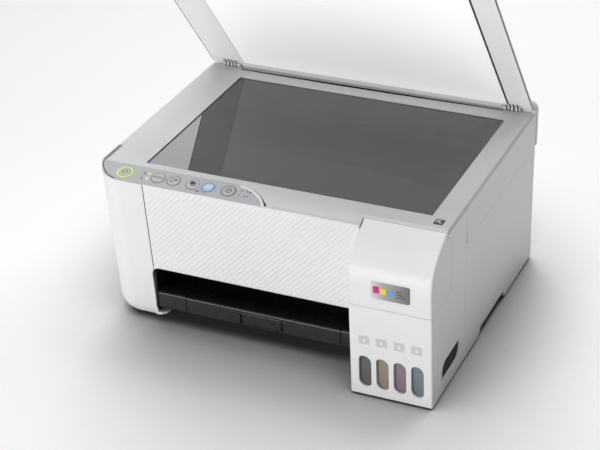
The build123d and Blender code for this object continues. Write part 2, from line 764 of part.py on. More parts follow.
EXTENSION_X = (-60.0, 36.0)
STOPPER_X = (-33.0, 9.0)
STOPPER_HINGE = (TRAY_FRONT_Y + 1.2, 35.2)
POCKET_X = (STOPPER_X[0] - 3.6, STOPPER_X[1] + 3.6)
with BuildPart() as output_tray:
    block(TRAY_X, (TRAY_FRONT_Y, -14), (TRAY_TOP - 2.4, TRAY_TOP))
    block(TRAY_X, (TRAY_FRONT_Y, TRAY_FRONT_Y + 2.5), (TRAY_FOOT_Z, TRAY_TOP))
    block(
        (POCKET_X[0] - 2, POCKET_X[1] + 2),
        (TRAY_FRONT_Y, TRAY_FRONT_Y + 4.6),
        (TRAY_FOOT_Z, TRAY_TOP),
    )
    for side_x in ((TRAY_X[0], TRAY_X[0] + 2), (TRAY_X[1] - 2, TRAY_X[1])):
        block(side_x, (TRAY_FRONT_Y, -14), (30, TRAY_TOP))
    fillet(
        [
            e
            for e in output_tray.edges().filter_by(Axis.X).group_by(Axis.Z)[-1]
            if e.center().Y < -120
        ],
        TRAY_LIP,
    )
    block(
        (EXTENSION_X[0] - GAP, EXTENSION_X[1] + GAP),
        (TRAY_FRONT_Y - 1, TRAY_FRONT_Y + 5),
        (33.6, 36.8),
        mode=Mode.SUBTRACT,
    )
    # pocket that lets the paper stopper lie flush
    block(
        POCKET_X,
        (TRAY_FRONT_Y - 1, TRAY_FRONT_Y + 2.4),
        (TRAY_FOOT_Z + 1.4, 36.8),
        mode=Mode.SUBTRACT,
    )
write(output_tray, "output_tray")

with BuildPart() as tray_extension:
    block(EXTENSION_X, (TRAY_FRONT_Y + 0.1, -18), (34.0, 36.4))
    block(
        (STOPPER_X[0] - GAP, STOPPER_X[1] + GAP),
        (TRAY_FRONT_Y - 1, TRAY_FRONT_Y + 2.9),
        (33, 38),
        mode=Mode.SUBTRACT,
    )
    rod_x(STOPPER_HINGE, 0.75, (STOPPER_X[0] - 3.2, STOPPER_X[1] + 3.2), mode=Mode.SUBTRACT)
write(tray_extension, "tray_extension")

with BuildPart() as paper_stopper:
    block(STOPPER_X, (TRAY_FRONT_Y + 0.2, TRAY_FRONT_Y + 1.8), (TRAY_FOOT_Z + 1.8, 35.2))
    rod_x(STOPPER_HINGE, 1.1, STOPPER_X)
    rod_x(STOPPER_HINGE, 0.7, (STOPPER_X[0] - 2, STOPPER_X[1] + 2))
write(paper_stopper, "paper_stopper")

# ---------------------------------------------------------------- rear paper feed

with BuildPart() as hopper_plate:
    along = Vector(0, HOPPER_FOOT[0] - HOPPER_TOP[0], HOPPER_FOOT[1] - HOPPER_TOP[1])
    unit = along.normalized()
    out = Vector(0, unit.Z, -unit.Y)
    thick = 2.4
    corners = [
        HOPPER_TOP,
        HOPPER_FOOT,
        (HOPPER_FOOT[0] - out.Y * thick, HOPPER_FOOT[1] - out.Z * thick),
        (HOPPER_TOP[0] - out.Y * thick, HOPPER_TOP[1] - out.Z * thick),
    ]
    side_prism(corners, (HOPPER_X[0] + 1, HOPPER_X[1] - 1))
    rod_x(HOPPER_TOP, 1.5, (HOPPER_X[0] - 6, HOPPER_X[1] + 6))
write(hopper_plate, "hopper_plate")

SUPPORT_DIR = (sin(radians(SUPPORT_TILT)), cos(radians(SUPPORT_TILT)))
SUPPORT_TOP = (167.6, 186.6)


def tilted_plate(top, length, front, back, x):
    """A plate along the support's slide direction, between two offsets from its line."""
    across = (SUPPORT_DIR[1], -SUPPORT_DIR[0])
    foot = (top[0] - SUPPORT_DIR[0] * length, top[1] - SUPPORT_DIR[1] * length)
    side_prism(
        [
            (top[0] + across[0] * front, top[1] + across[1] * front),
            (top[0] + across[0] * back, top[1] + across[1] * back),
            (foot[0] + across[0] * back, foot[1] + across[1] * back),
            (foot[0] + across[0] * front, foot[1] + across[1] * front),
        ],
        x,
    )


with BuildPart() as paper_support:
    tilted_plate(SUPPORT_TOP, 104, -1.1, 1.1, (PAPER_X - 92, PAPER_X + 92))
write(paper_support, "paper_support")

GUIDE_Y = (154.8, 156.8)
for side, label in ((-1, "edge_guide_left"), (1, "edge_guide_right")):
    face_x = PAPER_X + side * 109
    with BuildPart() as edge_guide:
        plate_x = tuple(sorted((face_x, face_x + side * 2)))
        block(plate_x, GUIDE_Y, (146, 184))
        block(tuple(sorted((face_x, face_x + side * 6))), GUIDE_Y, (146, 152))
        side_prism([(GUIDE_Y[0], 160), (160.4, 176), (161.5, 184), (GUIDE_Y[0], 184)], plate_x)
    write(edge_guide, label)

with BuildPart() as pickup_roller:
    rod_x(PICKUP_AXIS, 4.0, (-177, 177))
    rod_x(PICKUP_AXIS, PICKUP_RADIUS, (PAPER_X - 20, PAPER_X + 20))
write(pickup_roller, "pickup_roller")

# ---------------------------------------------------------------- print mechanism

PLATE_X = 174.0
PLATE = 1.8
FEED_ANGLE = -12 * 2 * pi / FEED_TEETH
PINION_AXIS = (
    FEED_AXIS[0] + (FEED_TEETH + PINION_TEETH) / 2 * cos(FEED_ANGLE),
    FEED_AXIS[1] + (FEED_TEETH + PINION_TEETH) / 2 * sin(FEED_ANGLE),
)
IDLER_AXIS = ((FEED_AXIS[0] + EXIT_AXIS[0]) / 2, FEED_AXIS[1])
SHAFT = 4.0

with BuildPart() as steel_chassis:
    block((-PLATE_X, PLATE_X), (29, 31), (45, 126))
    block((-PLATE_X, PLATE_X), (17, 31), (124, 126))
    for low_x in (-PLATE_X, PLATE_X - PLATE):
        side_prism(
            [
                (-70, 20),
                (-70, 118),
                (-62, 126),
                (31, 126),
                (31, 100),
                (118, 100),
                (118, 70),
                (31, 70),
                (31, 8),
                (-10, 8),
                (-10, 20),
            ],
            (low_x, low_x + PLATE),
        )
    for axis, radius in (
        (FEED_AXIS, SHAFT + RUNNING),
        (EXIT_AXIS, SHAFT + RUNNING),
        (PICKUP_AXIS, SHAFT + RUNNING),
        (RAIL_AXIS, RAIL_RADIUS),
    ):
        rod_x(axis, radius, (-190, 190), mode=Mode.SUBTRACT)
    rod_x(PINION_AXIS, 2.5, (-190, -150), mode=Mode.SUBTRACT)
    rod_y((PULLEY_X, PULLEY_Z), 2.5, (20, 40), mode=Mode.SUBTRACT)
    rod_x(IDLER_AXIS, 2.0, (GEAR_X[0] - 0.8, -PLATE_X + 0.5))
write(steel_chassis, "steel_chassis")

with BuildPart() as carriage_rail:
    rod_x(RAIL_AXIS, RAIL_RADIUS, (-176, 176))
    chamfer(carriage_rail.edges().filter_by(GeomType.CIRCLE), 0.5)
write(carriage_rail, "carriage_rail")

with BuildPart() as print_carriage:
    block(CARRIAGE_X, (-48, 2), (66, 112))
    block((CARRIAGE_X[0] + 3, CARRIAGE_X[1] - 3), (-45, -1), (70, 115), mode=Mode.SUBTRACT)
    block((CARRIAGE_X[0] + 8, CARRIAGE_X[1] - 8), (-42, -4), (61, 67))
    for rib in (1, 2, 3):
        rib_x = CARRIAGE_X[0] + rib * (CARRIAGE_X[1] - CARRIAGE_X[0]) / 4
        block((rib_x - 0.8, rib_x + 0.8), (-46, 0), (66, 106))
    block((CARRIAGE_X[0], CARRIAGE_X[1]), (1, 18), (92, 108))
    rod_x(RAIL_AXIS, RAIL_RADIUS + RUNNING, (CARRIAGE_X[0] - 1, CARRIAGE_X[1] + 1), mode=Mode.SUBTRACT)
write(print_carriage, "print_carriage")

with BuildPart() as carriage_belt:
    inner = PULLEY_RADIUS + 0.1
    with BuildSketch(Plane.XZ.offset(-25)) as loop:
        with Locations((0, PULLEY_Z)):
            SlotCenterToCenter(2 * PULLEY_X, 2 * inner + 2.4)
            SlotCenterToCenter(2 * PULLEY_X, 2 * inner, mode=Mode.SUBTRACT)
    extrude(loop.sketch, amount=5)
write(carriage_belt, "carriage_belt")

with BuildPart() as drive_pulley:
    rod_y((PULLEY_X, PULLEY_Z), PULLEY_RADIUS, (19.6, 25.4))
    rod_y((PULLEY_X, PULLEY_Z), PULLEY_RADIUS + 1.8, (18.6, 19.6))
    rod_y((PULLEY_X, PULLEY_Z), PULLEY_RADIUS + 1.8, (25.4, 26.4))
    rod_y((PULLEY_X, PULLEY_Z), 1.5, (26.4, 34))
write(drive_pulley, "drive_pulley")

with BuildPart() as belt_idler:
    rod_y((-PULLEY_X, PULLEY_Z), PULLEY_RADIUS, (19.6, 25.4))
    rod_y((-PULLEY_X, PULLEY_Z), PULLEY_RADIUS + 1.8, (25.4, 26.4))
    rod_y((-PULLEY_X, PULLEY_Z), 2.5, (26.4, 29))
write(belt_idler, "belt_idler")

with BuildPart() as carriage_motor:
    rod_y((PULLEY_X, PULLEY_Z), 14.0, (31, 56))
    rod_y((PULLEY_X, PULLEY_Z), 5.0, (56, 59))
    rod_y((PULLEY_X, PULLEY_Z), 1.5 + RUNNING, (25, 36), mode=Mode.SUBTRACT)
write(carriage_motor, "carriage_motor")

with BuildPart() as feed_motor:
    rod_x(PINION_AXIS, 13.0, (-PLATE_X + PLATE, -147))
    rod_x(PINION_AXIS, 1.5 + RUNNING, (-PLATE_X, -166), mode=Mode.SUBTRACT)
write(feed_motor, "feed_motor")

with BuildPart() as motor_pinion:
    gear(PINION_TEETH, PINION_AXIS, FEED_ANGLE + pi + pi / PINION_TEETH, GEAR_X)
    rod_x(PINION_AXIS, 1.5, (GEAR_X[1], -167))
write(motor_pinion, "motor_pinion")

with BuildPart() as feed_roller:
    rod_x(FEED_AXIS, SHAFT, (GEAR_X[0], 176))
    rod_x(FEED_AXIS, ROLLER_RADIUS, (-126, 98))
    gear(FEED_TEETH, FEED_AXIS, 0, GEAR_X)
    rod_x(FEED_AXIS, 17.5, (GEAR_X[0] - 1, GEAR_X[0] + 1.5), mode=Mode.SUBTRACT)
    rod_x(FEED_AXIS, 7.0, (GEAR_X[0], GEAR_X[0] + 1.6))
write(feed_roller, "feed_roller")

with BuildPart() as idler_gear:
    gear(IDLER_TEETH, IDLER_AXIS, pi / IDLER_TEETH, GEAR_X)
    rod_x(IDLER_AXIS, 2.0 + RUNNING, (-190, -170), mode=Mode.SUBTRACT)
write(idler_gear, "idler_gear")

with BuildPart() as exit_roller:
    rod_x(EXIT_AXIS, SHAFT, (GEAR_X[0], 176))
    for roll in range(6):
        roll_x = PAPER_X - 100 + 36 * roll
        rod_x(EXIT_AXIS, ROLLER_RADIUS, (roll_x, roll_x + 20))
    gear(FEED_TEETH, EXIT_AXIS, 0, GEAR_X)
    rod_x(EXIT_AXIS, 17.5, (GEAR_X[0] - 1, GEAR_X[0] + 1.5), mode=Mode.SUBTRACT)
    rod_x(EXIT_AXIS, 7.0, (GEAR_X[0], GEAR_X[0] + 1.6))
write(exit_roller, "exit_roller")

with BuildPart() as platen:
    block((-128, 100), (-46, 4), (42, 46))
    for rib in range(12):
        rib_x = -124 + 19.5 * rib
        block((rib_x, rib_x + 2), (-46, 4), (46, 57))
write(platen, "platen")

with BuildPart() as maintenance_station:
    block((108, 164), (-46, 2), (8, 54))
    block((116, 146), (-40, -6), (54, 60))
    block((118, 144), (-38, -8), (57, 61), mode=Mode.SUBTRACT)
    block((152, 154), (-40, -6), (54, 60))
write(maintenance_station, "maintenance_station")

with BuildPart() as main_board:
    block((-160, -40), (64, 144), (10, 11.6))
    for chip in ((-140, 90, 14), (-112, 104, 20), (-80, 86, 10), (-60, 120, 12)):
        block((chip[0], chip[0] + chip[2]), (chip[1], chip[1] + chip[2]), (11.6, 13.6))
    for jack in range(4):
        block((-84 + 11 * jack, -76 + 11 * jack), (66, 70), (11.6, 18))
write(main_board, "main_board")

with BuildPart() as power_supply:
    block((118, 178), (50, 128), (8, 46))
    fillet(power_supply.edges().filter_by(Axis.Z), 3)
    for slot in range(7):
        block((124 + 7 * slot, 127 + 7 * slot), (60, 118), (45, 50), mode=Mode.SUBTRACT)
write(power_supply, "power_supply")

with BuildPart() as power_inlet:
    block((INLET_X[0] + 0.2, INLET_X[1] - 0.2), (132, BACK_Y), (INLET_Z[0] + 0.2, INLET_Z[1] - 0.2))
    block((INLET_X[0] + 3, INLET_X[1] - 3), (137, 160), (INLET_Z[0] + 5, INLET_Z[1] - 5), mode=Mode.SUBTRACT)
    for pin_x in (132, 140):
        rod_y((pin_x, sum(INLET_Z) / 2), 1.2, (136, 148))
write(power_inlet, "power_inlet")

with BuildPart() as usb_port:
    block((USB_X[0] + 0.2, USB_X[1] - 0.2), (137, BACK_Y), (USB_Z[0] + 0.2, USB_Z[1] - 0.2))
    block((USB_X[0] + 2, USB_X[1] - 2), (140, 160), (USB_Z[0] + 2, USB_Z[1] - 2), mode=Mode.SUBTRACT)
    block((USB_X[0] + 4, USB_X[1] - 4), (139, 149), (20, 22.5))
write(usb_port, "usb_port")

# ---------------------------------------------------------------- scanner unit

BRACKET_X = (176.0, 179.0)
with BuildPart() as scanner_base:
    block((-HALF_WIDTH, HALF_WIDTH), (-80, SCAN_BACK_Y), (SIDE_SEAM_Z, FRAME_BOTTOM))
    rod_x(SCAN_HINGE, SCAN_SEAM_RADIUS, (-200, 200), mode=Mode.INTERSECT)
    block((-184, 184), (-112, -60), (140, FRAME_BOTTOM))
    block((-181.5, 181.5), (-109.5, 145.5), (142.5, 180), mode=Mode.SUBTRACT)
    block((-184.5, 184.5), (-60, 145), (130, 140), mode=Mode.SUBTRACT)
    for side in (-1, 1):
        slot_x = tuple(sorted((side * 174.5, side * 180.5)))
        pin_x = tuple(sorted((side * 180, side * 186)))
        block(slot_x, (144, 150), (158, 180), mode=Mode.SUBTRACT)
        rod_x(SCAN_HINGE, 2.5 + RUNNING, pin_x, mode=Mode.SUBTRACT)
write(scanner_base, "scanner_base")

with BuildPart() as hinge_brackets:
    for side in (-1, 1):
        plate_x = tuple(sorted((side * BRACKET_X[0], side * BRACKET_X[1])))
        pin_x = tuple(sorted((side * BRACKET_X[0], side * 185.5)))
        rod_x(SCAN_HINGE, 4.0, plate_x)
        block(plate_x, (SCAN_HINGE[0], BACK_Y + 0.5), (167, 172))
        block(plate_x, (150.0, BACK_Y + 0.5), (150, 172))
        rod_x(SCAN_HINGE, 2.5, pin_x)
write(hinge_brackets, "hinge_brackets")

FRAME_EDGE_Y = STRIP_REAR_Y + GAP
TROUGH_Y = -138.2
TROUGH_Z = 174.0
LID_STEP_Y = 138.6
with BuildPart() as scanner_frame:
    with BuildSketch(Plane.XY.offset(FRAME_BOTTOM)) as outline:
        with BuildLine():
            end_x = STRIP_END_X + GAP
            Polyline(
                (end_x, TROUGH_Y),
                (TANK_LEFT_X - 0.6, TROUGH_Y),
                (TANK_LEFT_X - 0.6, COVER_TOP_Y + GAP),
                (HALF_WIDTH, COVER_TOP_Y + GAP),
                (HALF_WIDTH, SCAN_BACK_Y),
                (-HALF_WIDTH, SCAN_BACK_Y),
                (-HALF_WIDTH, FRAME_EDGE_Y),
                (end_x - 35, FRAME_EDGE_Y),
            )
            ThreePointArc(
                (end_x - 35, FRAME_EDGE_Y),
                (end_x - 16.2, FRAME_EDGE_Y - 6.0),
                (end_x, TROUGH_Y),
            )
        make_face()
    extrude(outline.sketch, amount=SCANNER_TOP - FRAME_BOTTOM)
    long_edges = scanner_frame.edges().filter_by(Axis.Y).group_by(Axis.Z)[-1]
    fillet([e for e in long_edges if abs(e.center().X) > HALF_WIDTH - 1], 1.8)
    # front edge over the finger trough curves down
    trough = [(-123, 180), (-129, 179.2), (-134, 177.2), (TROUGH_Y, TROUGH_Z)]
    above = [(-142, TROUGH_Z), (-142, 181), (-123, 181)]
    side_prism(trough + above, (-34, TANK_LEFT_X - 0.5), mode=Mode.SUBTRACT)
    side_prism(
        [
            (-128.4, 180.0),
            (COVER_TOP_Y, 178.0),
            (-140, 178.0),
            (-140, 182.0),
            (-128.4, 182.0),
        ],
        (TANK_LEFT_X - 0.6, HALF_WIDTH),
        mode=Mode.SUBTRACT,
    )
    side_prism(
        [
            (-128, FRAME_BOTTOM + 0.5),
            (-134, 177.2),
            (TROUGH_Y, TROUGH_Z),
            (TROUGH_Y, TROUGH_Z - 4),
            (TROUGH_Y + 1.6, TROUGH_Z - 4),
            (-134.5, TROUGH_Z),
            (-130, FRAME_BOTTOM - 0.6),
        ],
        (STRIP_END_X + GAP, TANK_LEFT_X - 0.6),
    )
    # glass seat and opening
    block(
        (GLASS_X[0] - 8, GLASS_X[1] + 8),
        (GLASS_Y[0] - 7, GLASS_Y[1] + 8),
        (170, 179.0),
        mode=Mode.SUBTRACT,
    )
    block(GLASS_X, GLASS_Y, (170, 190), mode=Mode.SUBTRACT)
    # lowered strip behind, where the lid's rear edge turns
    block((-200, 200), (LID_STEP_Y, 160), (178.6, 190), mode=Mode.SUBTRACT)
    block((-180, 180), (LID_STEP_Y - 1.7, 160), (177.2, 190), mode=Mode.SUBTRACT)
    for side in (-1, 1):
        for finger in (-9, -3, 3, 9):
            centre = side * COMB_X + finger
            rod_x(LID_HINGE, 3.9, (centre - 1.3, centre + 1.3))
            block(
                (centre - 1.3, centre + 1.3),
                (LID_HINGE[0] - 3.4, LID_HINGE[0] + 3.4),
                (177.0, LID_HINGE[1]),
            )
        rod_x(LID_HINGE, 1.2, (side * COMB_X - 11, side * COMB_X + 11))
write(scanner_frame, "scanner_frame")

with BuildPart() as scanner_glass:
    block(
        (GLASS_X[0] - 6, GLASS_X[1] + 6),
        (GLASS_Y[0] - 5, GLASS_Y[1] + 6),
        (FRAME_BOTTOM + 0.3, 178.9),
    )
write(scanner_glass, "scanner_glass")

SENSOR_X = (-160.0, -142.0)
SENSOR_ROD = (2.0, 154.0)
with BuildPart() as sensor_bar:
    block(SENSOR_X, (GLASS_Y[0] + 2, GLASS_Y[1] - 2), (162, 175.2))
    block(
        (SENSOR_X[0] - 2, SENSOR_X[1] + 2),
        (SENSOR_ROD[0] - 12, SENSOR_ROD[0] + 12),
        (148, 163),
    )
    block(
        (SENSOR_X[0] + 6, SENSOR_X[1] - 6),
        (GLASS_Y[0] + 6, GLASS_Y[1] - 6),
        (174.4, 176),
        mode=Mode.SUBTRACT,
    )
    rod_x(SENSOR_ROD, 3 + RUNNING, (-190, -130), mode=Mode.SUBTRACT)
write(sensor_bar, "sensor_bar")

with BuildPart() as sensor_rod:
    rod_x(SENSOR_ROD, 3, (-181.5, 181.5))
write(sensor_rod, "sensor_rod")

# ---------------------------------------------------------------- document lid

LID_AXIS = Plane(
    origin=(0, LID_HINGE[0], LID_HINGE[1]),
    x_dir=(1, 0, 0),
    z_dir=(0, sin(radians(LID_OPEN)), cos(radians(LID_OPEN))),
)
LID_UNDER = -0.7
LID_TOP = LID_UNDER + LID_THICKNESS
PAD_X = (-146.2, 159.1)
PAD_Y = (-254.0, -9.0)
PAD_GAP = 2.0
PAD_PROUD = 0.7
LID_HALF = 187.0
BEVEL = 4.2
BEVEL_RUN = 12.0


def lid_plane(point):
    """A plane parallel to the lid through a point in the lid's own frame."""
    return Plane(
        origin=LID_AXIS.from_local_coords(point),
        x_dir=LID_AXIS.x_dir,
        z_dir=LID_AXIS.z_dir,
    )


def lid_block(x, y, z, mode=Mode.ADD):
    """A box in the lid's own frame: X, Y away from the free edge, Z out of its top."""
    middle = Vector((x[0] + x[1]) / 2, (y[0] + y[1]) / 2, z[0])
    with BuildSketch(lid_plane(middle)) as face:
        Rectangle(x[1] - x[0], y[1] - y[0])
    extrude(face.sketch, amount=z[1] - z[0], mode=mode)


with BuildPart() as lid_shell:
    rear = 2.4
    middle_y = (rear - LID_DEPTH) / 2
    rim = lid_plane(Vector(0, middle_y, LID_UNDER))
    with BuildSketch(rim) as slab:
        RectangleRounded(2 * LID_HALF, LID_DEPTH + rear, 5)
    extrude(slab.sketch, amount=LID_THICKNESS - BEVEL)
    with BuildSketch(rim.offset(LID_THICKNESS - BEVEL)) as bevel_low:
        RectangleRounded(2 * LID_HALF, LID_DEPTH + rear, 5)
    with BuildSketch(rim.offset(LID_THICKNESS)) as bevel_high:
        with Locations((0, BEVEL_RUN / 2)):
            RectangleRounded(2 * (LID_HALF - BEVEL_RUN), LID_DEPTH + rear - BEVEL_RUN, 5)
    loft([bevel_low.sketch.face(), bevel_high.sketch.face()])
    lid_block(
        (PAD_X[0] - PAD_GAP, PAD_X[1] + PAD_GAP),
        (PAD_Y[0] - PAD_GAP, PAD_Y[1] + PAD_GAP),
        (LID_UNDER - 1, LID_UNDER + 4.0),
        mode=Mode.SUBTRACT,
    )
    for side in (-1, 1):
        notch = (side * COMB_X - 11.6, side * COMB_X + 11.6)
        rod_x(LID_HINGE, 4.4, notch, mode=Mode.SUBTRACT)
        lid_block(notch, (-4.4, 5), (LID_UNDER - 1, 4.3), mode=Mode.SUBTRACT)
        for finger in (-6, 0, 6):
            centre = side * COMB_X + finger
            rod_x(LID_HINGE, 3.9, (centre - 1.3, centre + 1.3))
            lid_block((centre - 1.3, centre + 1.3), (-5.5, 0), (LID_UNDER, 3.4))
            rod_x(LID_HINGE, 1.2 + RUNNING, (centre - 2, centre + 2), mode=Mode.SUBTRACT)
write(lid_shell, "lid_shell")

with BuildPart() as lid_pad:
    lid_block(PAD_X, PAD_Y, (LID_UNDER - PAD_PROUD, LID_UNDER + 3.8))
write(lid_pad, "lid_pad")
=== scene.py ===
"""Looks for the ink-tank printer: camera, light, materials and details round the CAD frame."""

import math

import bmesh
import bpy
from mathutils import Matrix, Vector


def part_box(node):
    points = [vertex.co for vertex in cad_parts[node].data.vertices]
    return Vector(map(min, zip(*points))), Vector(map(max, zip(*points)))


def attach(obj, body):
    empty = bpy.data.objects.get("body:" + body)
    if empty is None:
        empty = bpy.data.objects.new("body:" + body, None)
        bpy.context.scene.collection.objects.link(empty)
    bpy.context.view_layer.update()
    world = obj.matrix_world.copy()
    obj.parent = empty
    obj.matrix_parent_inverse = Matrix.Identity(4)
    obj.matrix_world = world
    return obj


MM = 0.001


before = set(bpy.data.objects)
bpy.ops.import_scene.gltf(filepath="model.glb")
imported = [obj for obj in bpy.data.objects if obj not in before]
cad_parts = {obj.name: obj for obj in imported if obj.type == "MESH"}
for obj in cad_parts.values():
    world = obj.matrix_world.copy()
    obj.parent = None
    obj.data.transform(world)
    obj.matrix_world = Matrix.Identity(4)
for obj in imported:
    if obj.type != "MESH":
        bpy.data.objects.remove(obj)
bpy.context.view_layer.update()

# ---------------------------------------------------------------- camera and light

camera_data = bpy.data.cameras.new("camera")
camera_data.lens = 107.0
camera_data.sensor_width = 36.0
camera_data.dof.use_dof = False
camera = bpy.data.objects.new("camera", camera_data)
bpy.context.scene.collection.objects.link(camera)
CAMERA_PLACE = Vector((0.65792, -1.50266, 0.99686))
CAMERA_AZIMUTH = math.radians(-24.37)
CAMERA_ELEVATION = math.radians(-29.17)
CAMERA_ROLL = math.radians(-1.55)
forward = Vector(
    (
        math.sin(CAMERA_AZIMUTH) * math.cos(CAMERA_ELEVATION),
        math.cos(CAMERA_AZIMUTH) * math.cos(CAMERA_ELEVATION),
        math.sin(CAMERA_ELEVATION),
    )
)
level_right = forward.cross(Vector((0, 0, 1))).normalized()
level_up = level_right.cross(forward)
right = level_right * math.cos(CAMERA_ROLL) + level_up * math.sin(CAMERA_ROLL)
up = level_up * math.cos(CAMERA_ROLL) - level_right * math.sin(CAMERA_ROLL)
camera_turn = Matrix((right, up, -forward)).transposed().to_4x4()
camera.matrix_world = Matrix.Translation(CAMERA_PLACE) @ camera_turn
bpy.context.scene.camera = camera


def area_light(name, place, target, size, power, color=(1, 1, 1)):
    data = bpy.data.lights.new(name, "AREA")
    data.shape = "RECTANGLE"
    data.size, data.size_y = size
    data.energy = power
    data.color = color
    lamp = bpy.data.objects.new(name, data)
    bpy.context.scene.collection.objects.link(lamp)
    aim = (Vector(target) - Vector(place)).to_track_quat("-Z", "Y")
    lamp.matrix_world = Matrix.Translation(place) @ aim.to_matrix().to_4x4()
    return lamp


area_light("front", (-1.5, -3.7, 0.40), (-0.02, -0.1, 0.20), (2.6, 0.9), 86)
area_light("overhead", (0.10, 1.15, 2.2), (0, 0, 0), (1.6, 1.4), 22)
area_light("top", (0.05, -0.75, 2.1), (0, 0, 0.15), (1.5, 1.5), 19)
floor_wash = area_light("floor_wash", (0.0, 2.6, 1.8), (0, 1.9, 0), (3.2, 1.6), 13)
lid_fill = area_light("lid_fill", (0.0, -1.9, 0.36), (0, 0.08, 0.28), (1.4, 0.5), 18)

bpy.context.scene.view_settings.view_transform = "Standard"
world = bpy.data.worlds.new("studio")
world.use_nodes = True
bpy.context.scene.world = world
WORLD_FILL = 0.075
WORLD_GLOW = 3.2
GLOW_EDGE = (0.90, 0.955)
GLOW_DIRECTION = Vector((-0.46, 0.77, 0.44)).normalized()


def studio_world():
    """Dim even fill with one bright cove behind the object to its left."""
    tree = world.node_tree
    background = tree.nodes["Background"]
    coordinate = tree.nodes.new("ShaderNodeTexCoord")
    product = tree.nodes.new("ShaderNodeVectorMath")
    product.operation = "DOT_PRODUCT"
    product.inputs[1].default_value = GLOW_DIRECTION
    tree.links.new(coordinate.outputs["Generated"], product.inputs[0])
    strength = tree.nodes.new("ShaderNodeMapRange")
    strength.interpolation_type = "SMOOTHSTEP"
    strength.inputs["From Min"].default_value = GLOW_EDGE[0]
    strength.inputs["From Max"].default_value = GLOW_EDGE[1]
    strength.inputs["To Min"].default_value = WORLD_FILL
    strength.inputs["To Max"].default_value = WORLD_GLOW
    tree.links.new(product.outputs["Value"], strength.inputs["Value"])
    background.inputs["Color"].default_value = (0.97, 0.985, 1.0, 1)
    tree.links.new(strength.outputs["Result"], background.inputs["Strength"])


studio_world()

# ---------------------------------------------------------------- materials


class Material:
    """A node material around one Principled shader, with helpers for noise and bump."""

    def __init__(self, name, color, roughness, **extra):
        self.material = bpy.data.materials.new(name)
        self.material.use_nodes = True
        self.tree = self.material.node_tree
        self.shader = self.tree.nodes["Principled BSDF"]
        self.shader.inputs["Base Color"].default_value = (*color, 1)
        self.shader.inputs["Roughness"].default_value = roughness
        for socket, value in extra.items():
            self.shader.inputs[socket.replace("_", " ")].default_value = value
        self.color = color
        self.roughness = roughness
        coordinate = self.tree.nodes.new("ShaderNodeTexCoord")
        self.place = coordinate.outputs["Object"]
        self.bump_input = None

    def stretched(self, scale):
        mapping = self.tree.nodes.new("ShaderNodeMapping")
        mapping.inputs["Scale"].default_value = scale
        self.tree.links.new(self.place, mapping.inputs["Vector"])
        return mapping.outputs["Vector"]

    def noise(self, scale, detail=2.0, stretch=None):
        texture = self.tree.nodes.new("ShaderNodeTexNoise")
        texture.inputs["Scale"].default_value = scale
        texture.inputs["Detail"].default_value = detail
        source = self.place if stretch is None else self.stretched(stretch)
        self.tree.links.new(source, texture.inputs["Vector"])
        return texture.outputs["Fac"]

    def ramp(self, value, stops):
        ramp = self.tree.nodes.new("ShaderNodeValToRGB")
        ramp.color_ramp.elements[0].position, ramp.color_ramp.elements[0].color = stops[0]
        ramp.color_ramp.elements[1].position, ramp.color_ramp.elements[1].color = stops[-1]
        for position, color in stops[1:-1]:
            ramp.color_ramp.elements.new(position).color = color
        self.tree.links.new(value, ramp.inputs["Fac"])
        return ramp.outputs["Color"]

    def vary_color(self, value, spread, low=0.35, high=0.65):
        """Colour varies with value by a share of itself."""
        darker = tuple(max(0.0, c * (1 - spread)) for c in self.color)
        lighter = tuple(min(1.0, c * (1 + spread)) for c in self.color)
        result = self.ramp(value, [(low, (*darker, 1)), (high, (*lighter, 1))])
        self.tree.links.new(result, self.shader.inputs["Base Color"])
        return self

    def vary_roughness(self, value, spread, low=0.35, high=0.65):
        dull, bright = self.roughness - spread, self.roughness + spread
        stops = [(low, (dull, dull, dull, 1)), (high, (bright, bright, bright, 1))]
        result = self.ramp(value, stops)
        self.tree.links.new(result, self.shader.inputs["Roughness"])
        return self

    def bump(self, value, distance, strength=1.0):
        node = self.tree.nodes.new("ShaderNodeBump")
        node.inputs["Distance"].default_value = distance
        node.inputs["Strength"].default_value = strength
        self.tree.links.new(value, node.inputs["Height"])
        if self.bump_input is not None:
            self.tree.links.new(self.bump_input, node.inputs["Normal"])
        self.bump_input = node.outputs["Normal"]
        self.tree.links.new(self.bump_input, self.shader.inputs["Normal"])
        return self


def moulded(name, color, roughness, grain=0.00003, spread=0.012, **extra):
    """Moulded plastic: fine spark-eroded grain, slow colour drift, uneven gloss."""
    made = Material(name, color, roughness, **extra)
    made.vary_color(made.noise(9, 2), spread)
    made.vary_roughness(made.noise(120, 3), 0.04)
    made.bump(made.noise(2600, 2), grain, 0.45)
    made.bump(made.noise(14, 1), 0.0004, 0.10)
    return made


def metal(name, color, roughness, along):
    """Sheet or drawn steel with fine lines along one axis."""
    made = Material(name, color, roughness, Metallic=1.0)
    stretch = tuple(0.04 if index == along else 1.0 for index in range(3))
    made.vary_roughness(made.noise(900, 3, stretch), 0.10)
    made.vary_color(made.noise(30, 3), 0.10)
    made.bump(made.noise(1600, 2, stretch), 0.00002, 0.5)
    return made


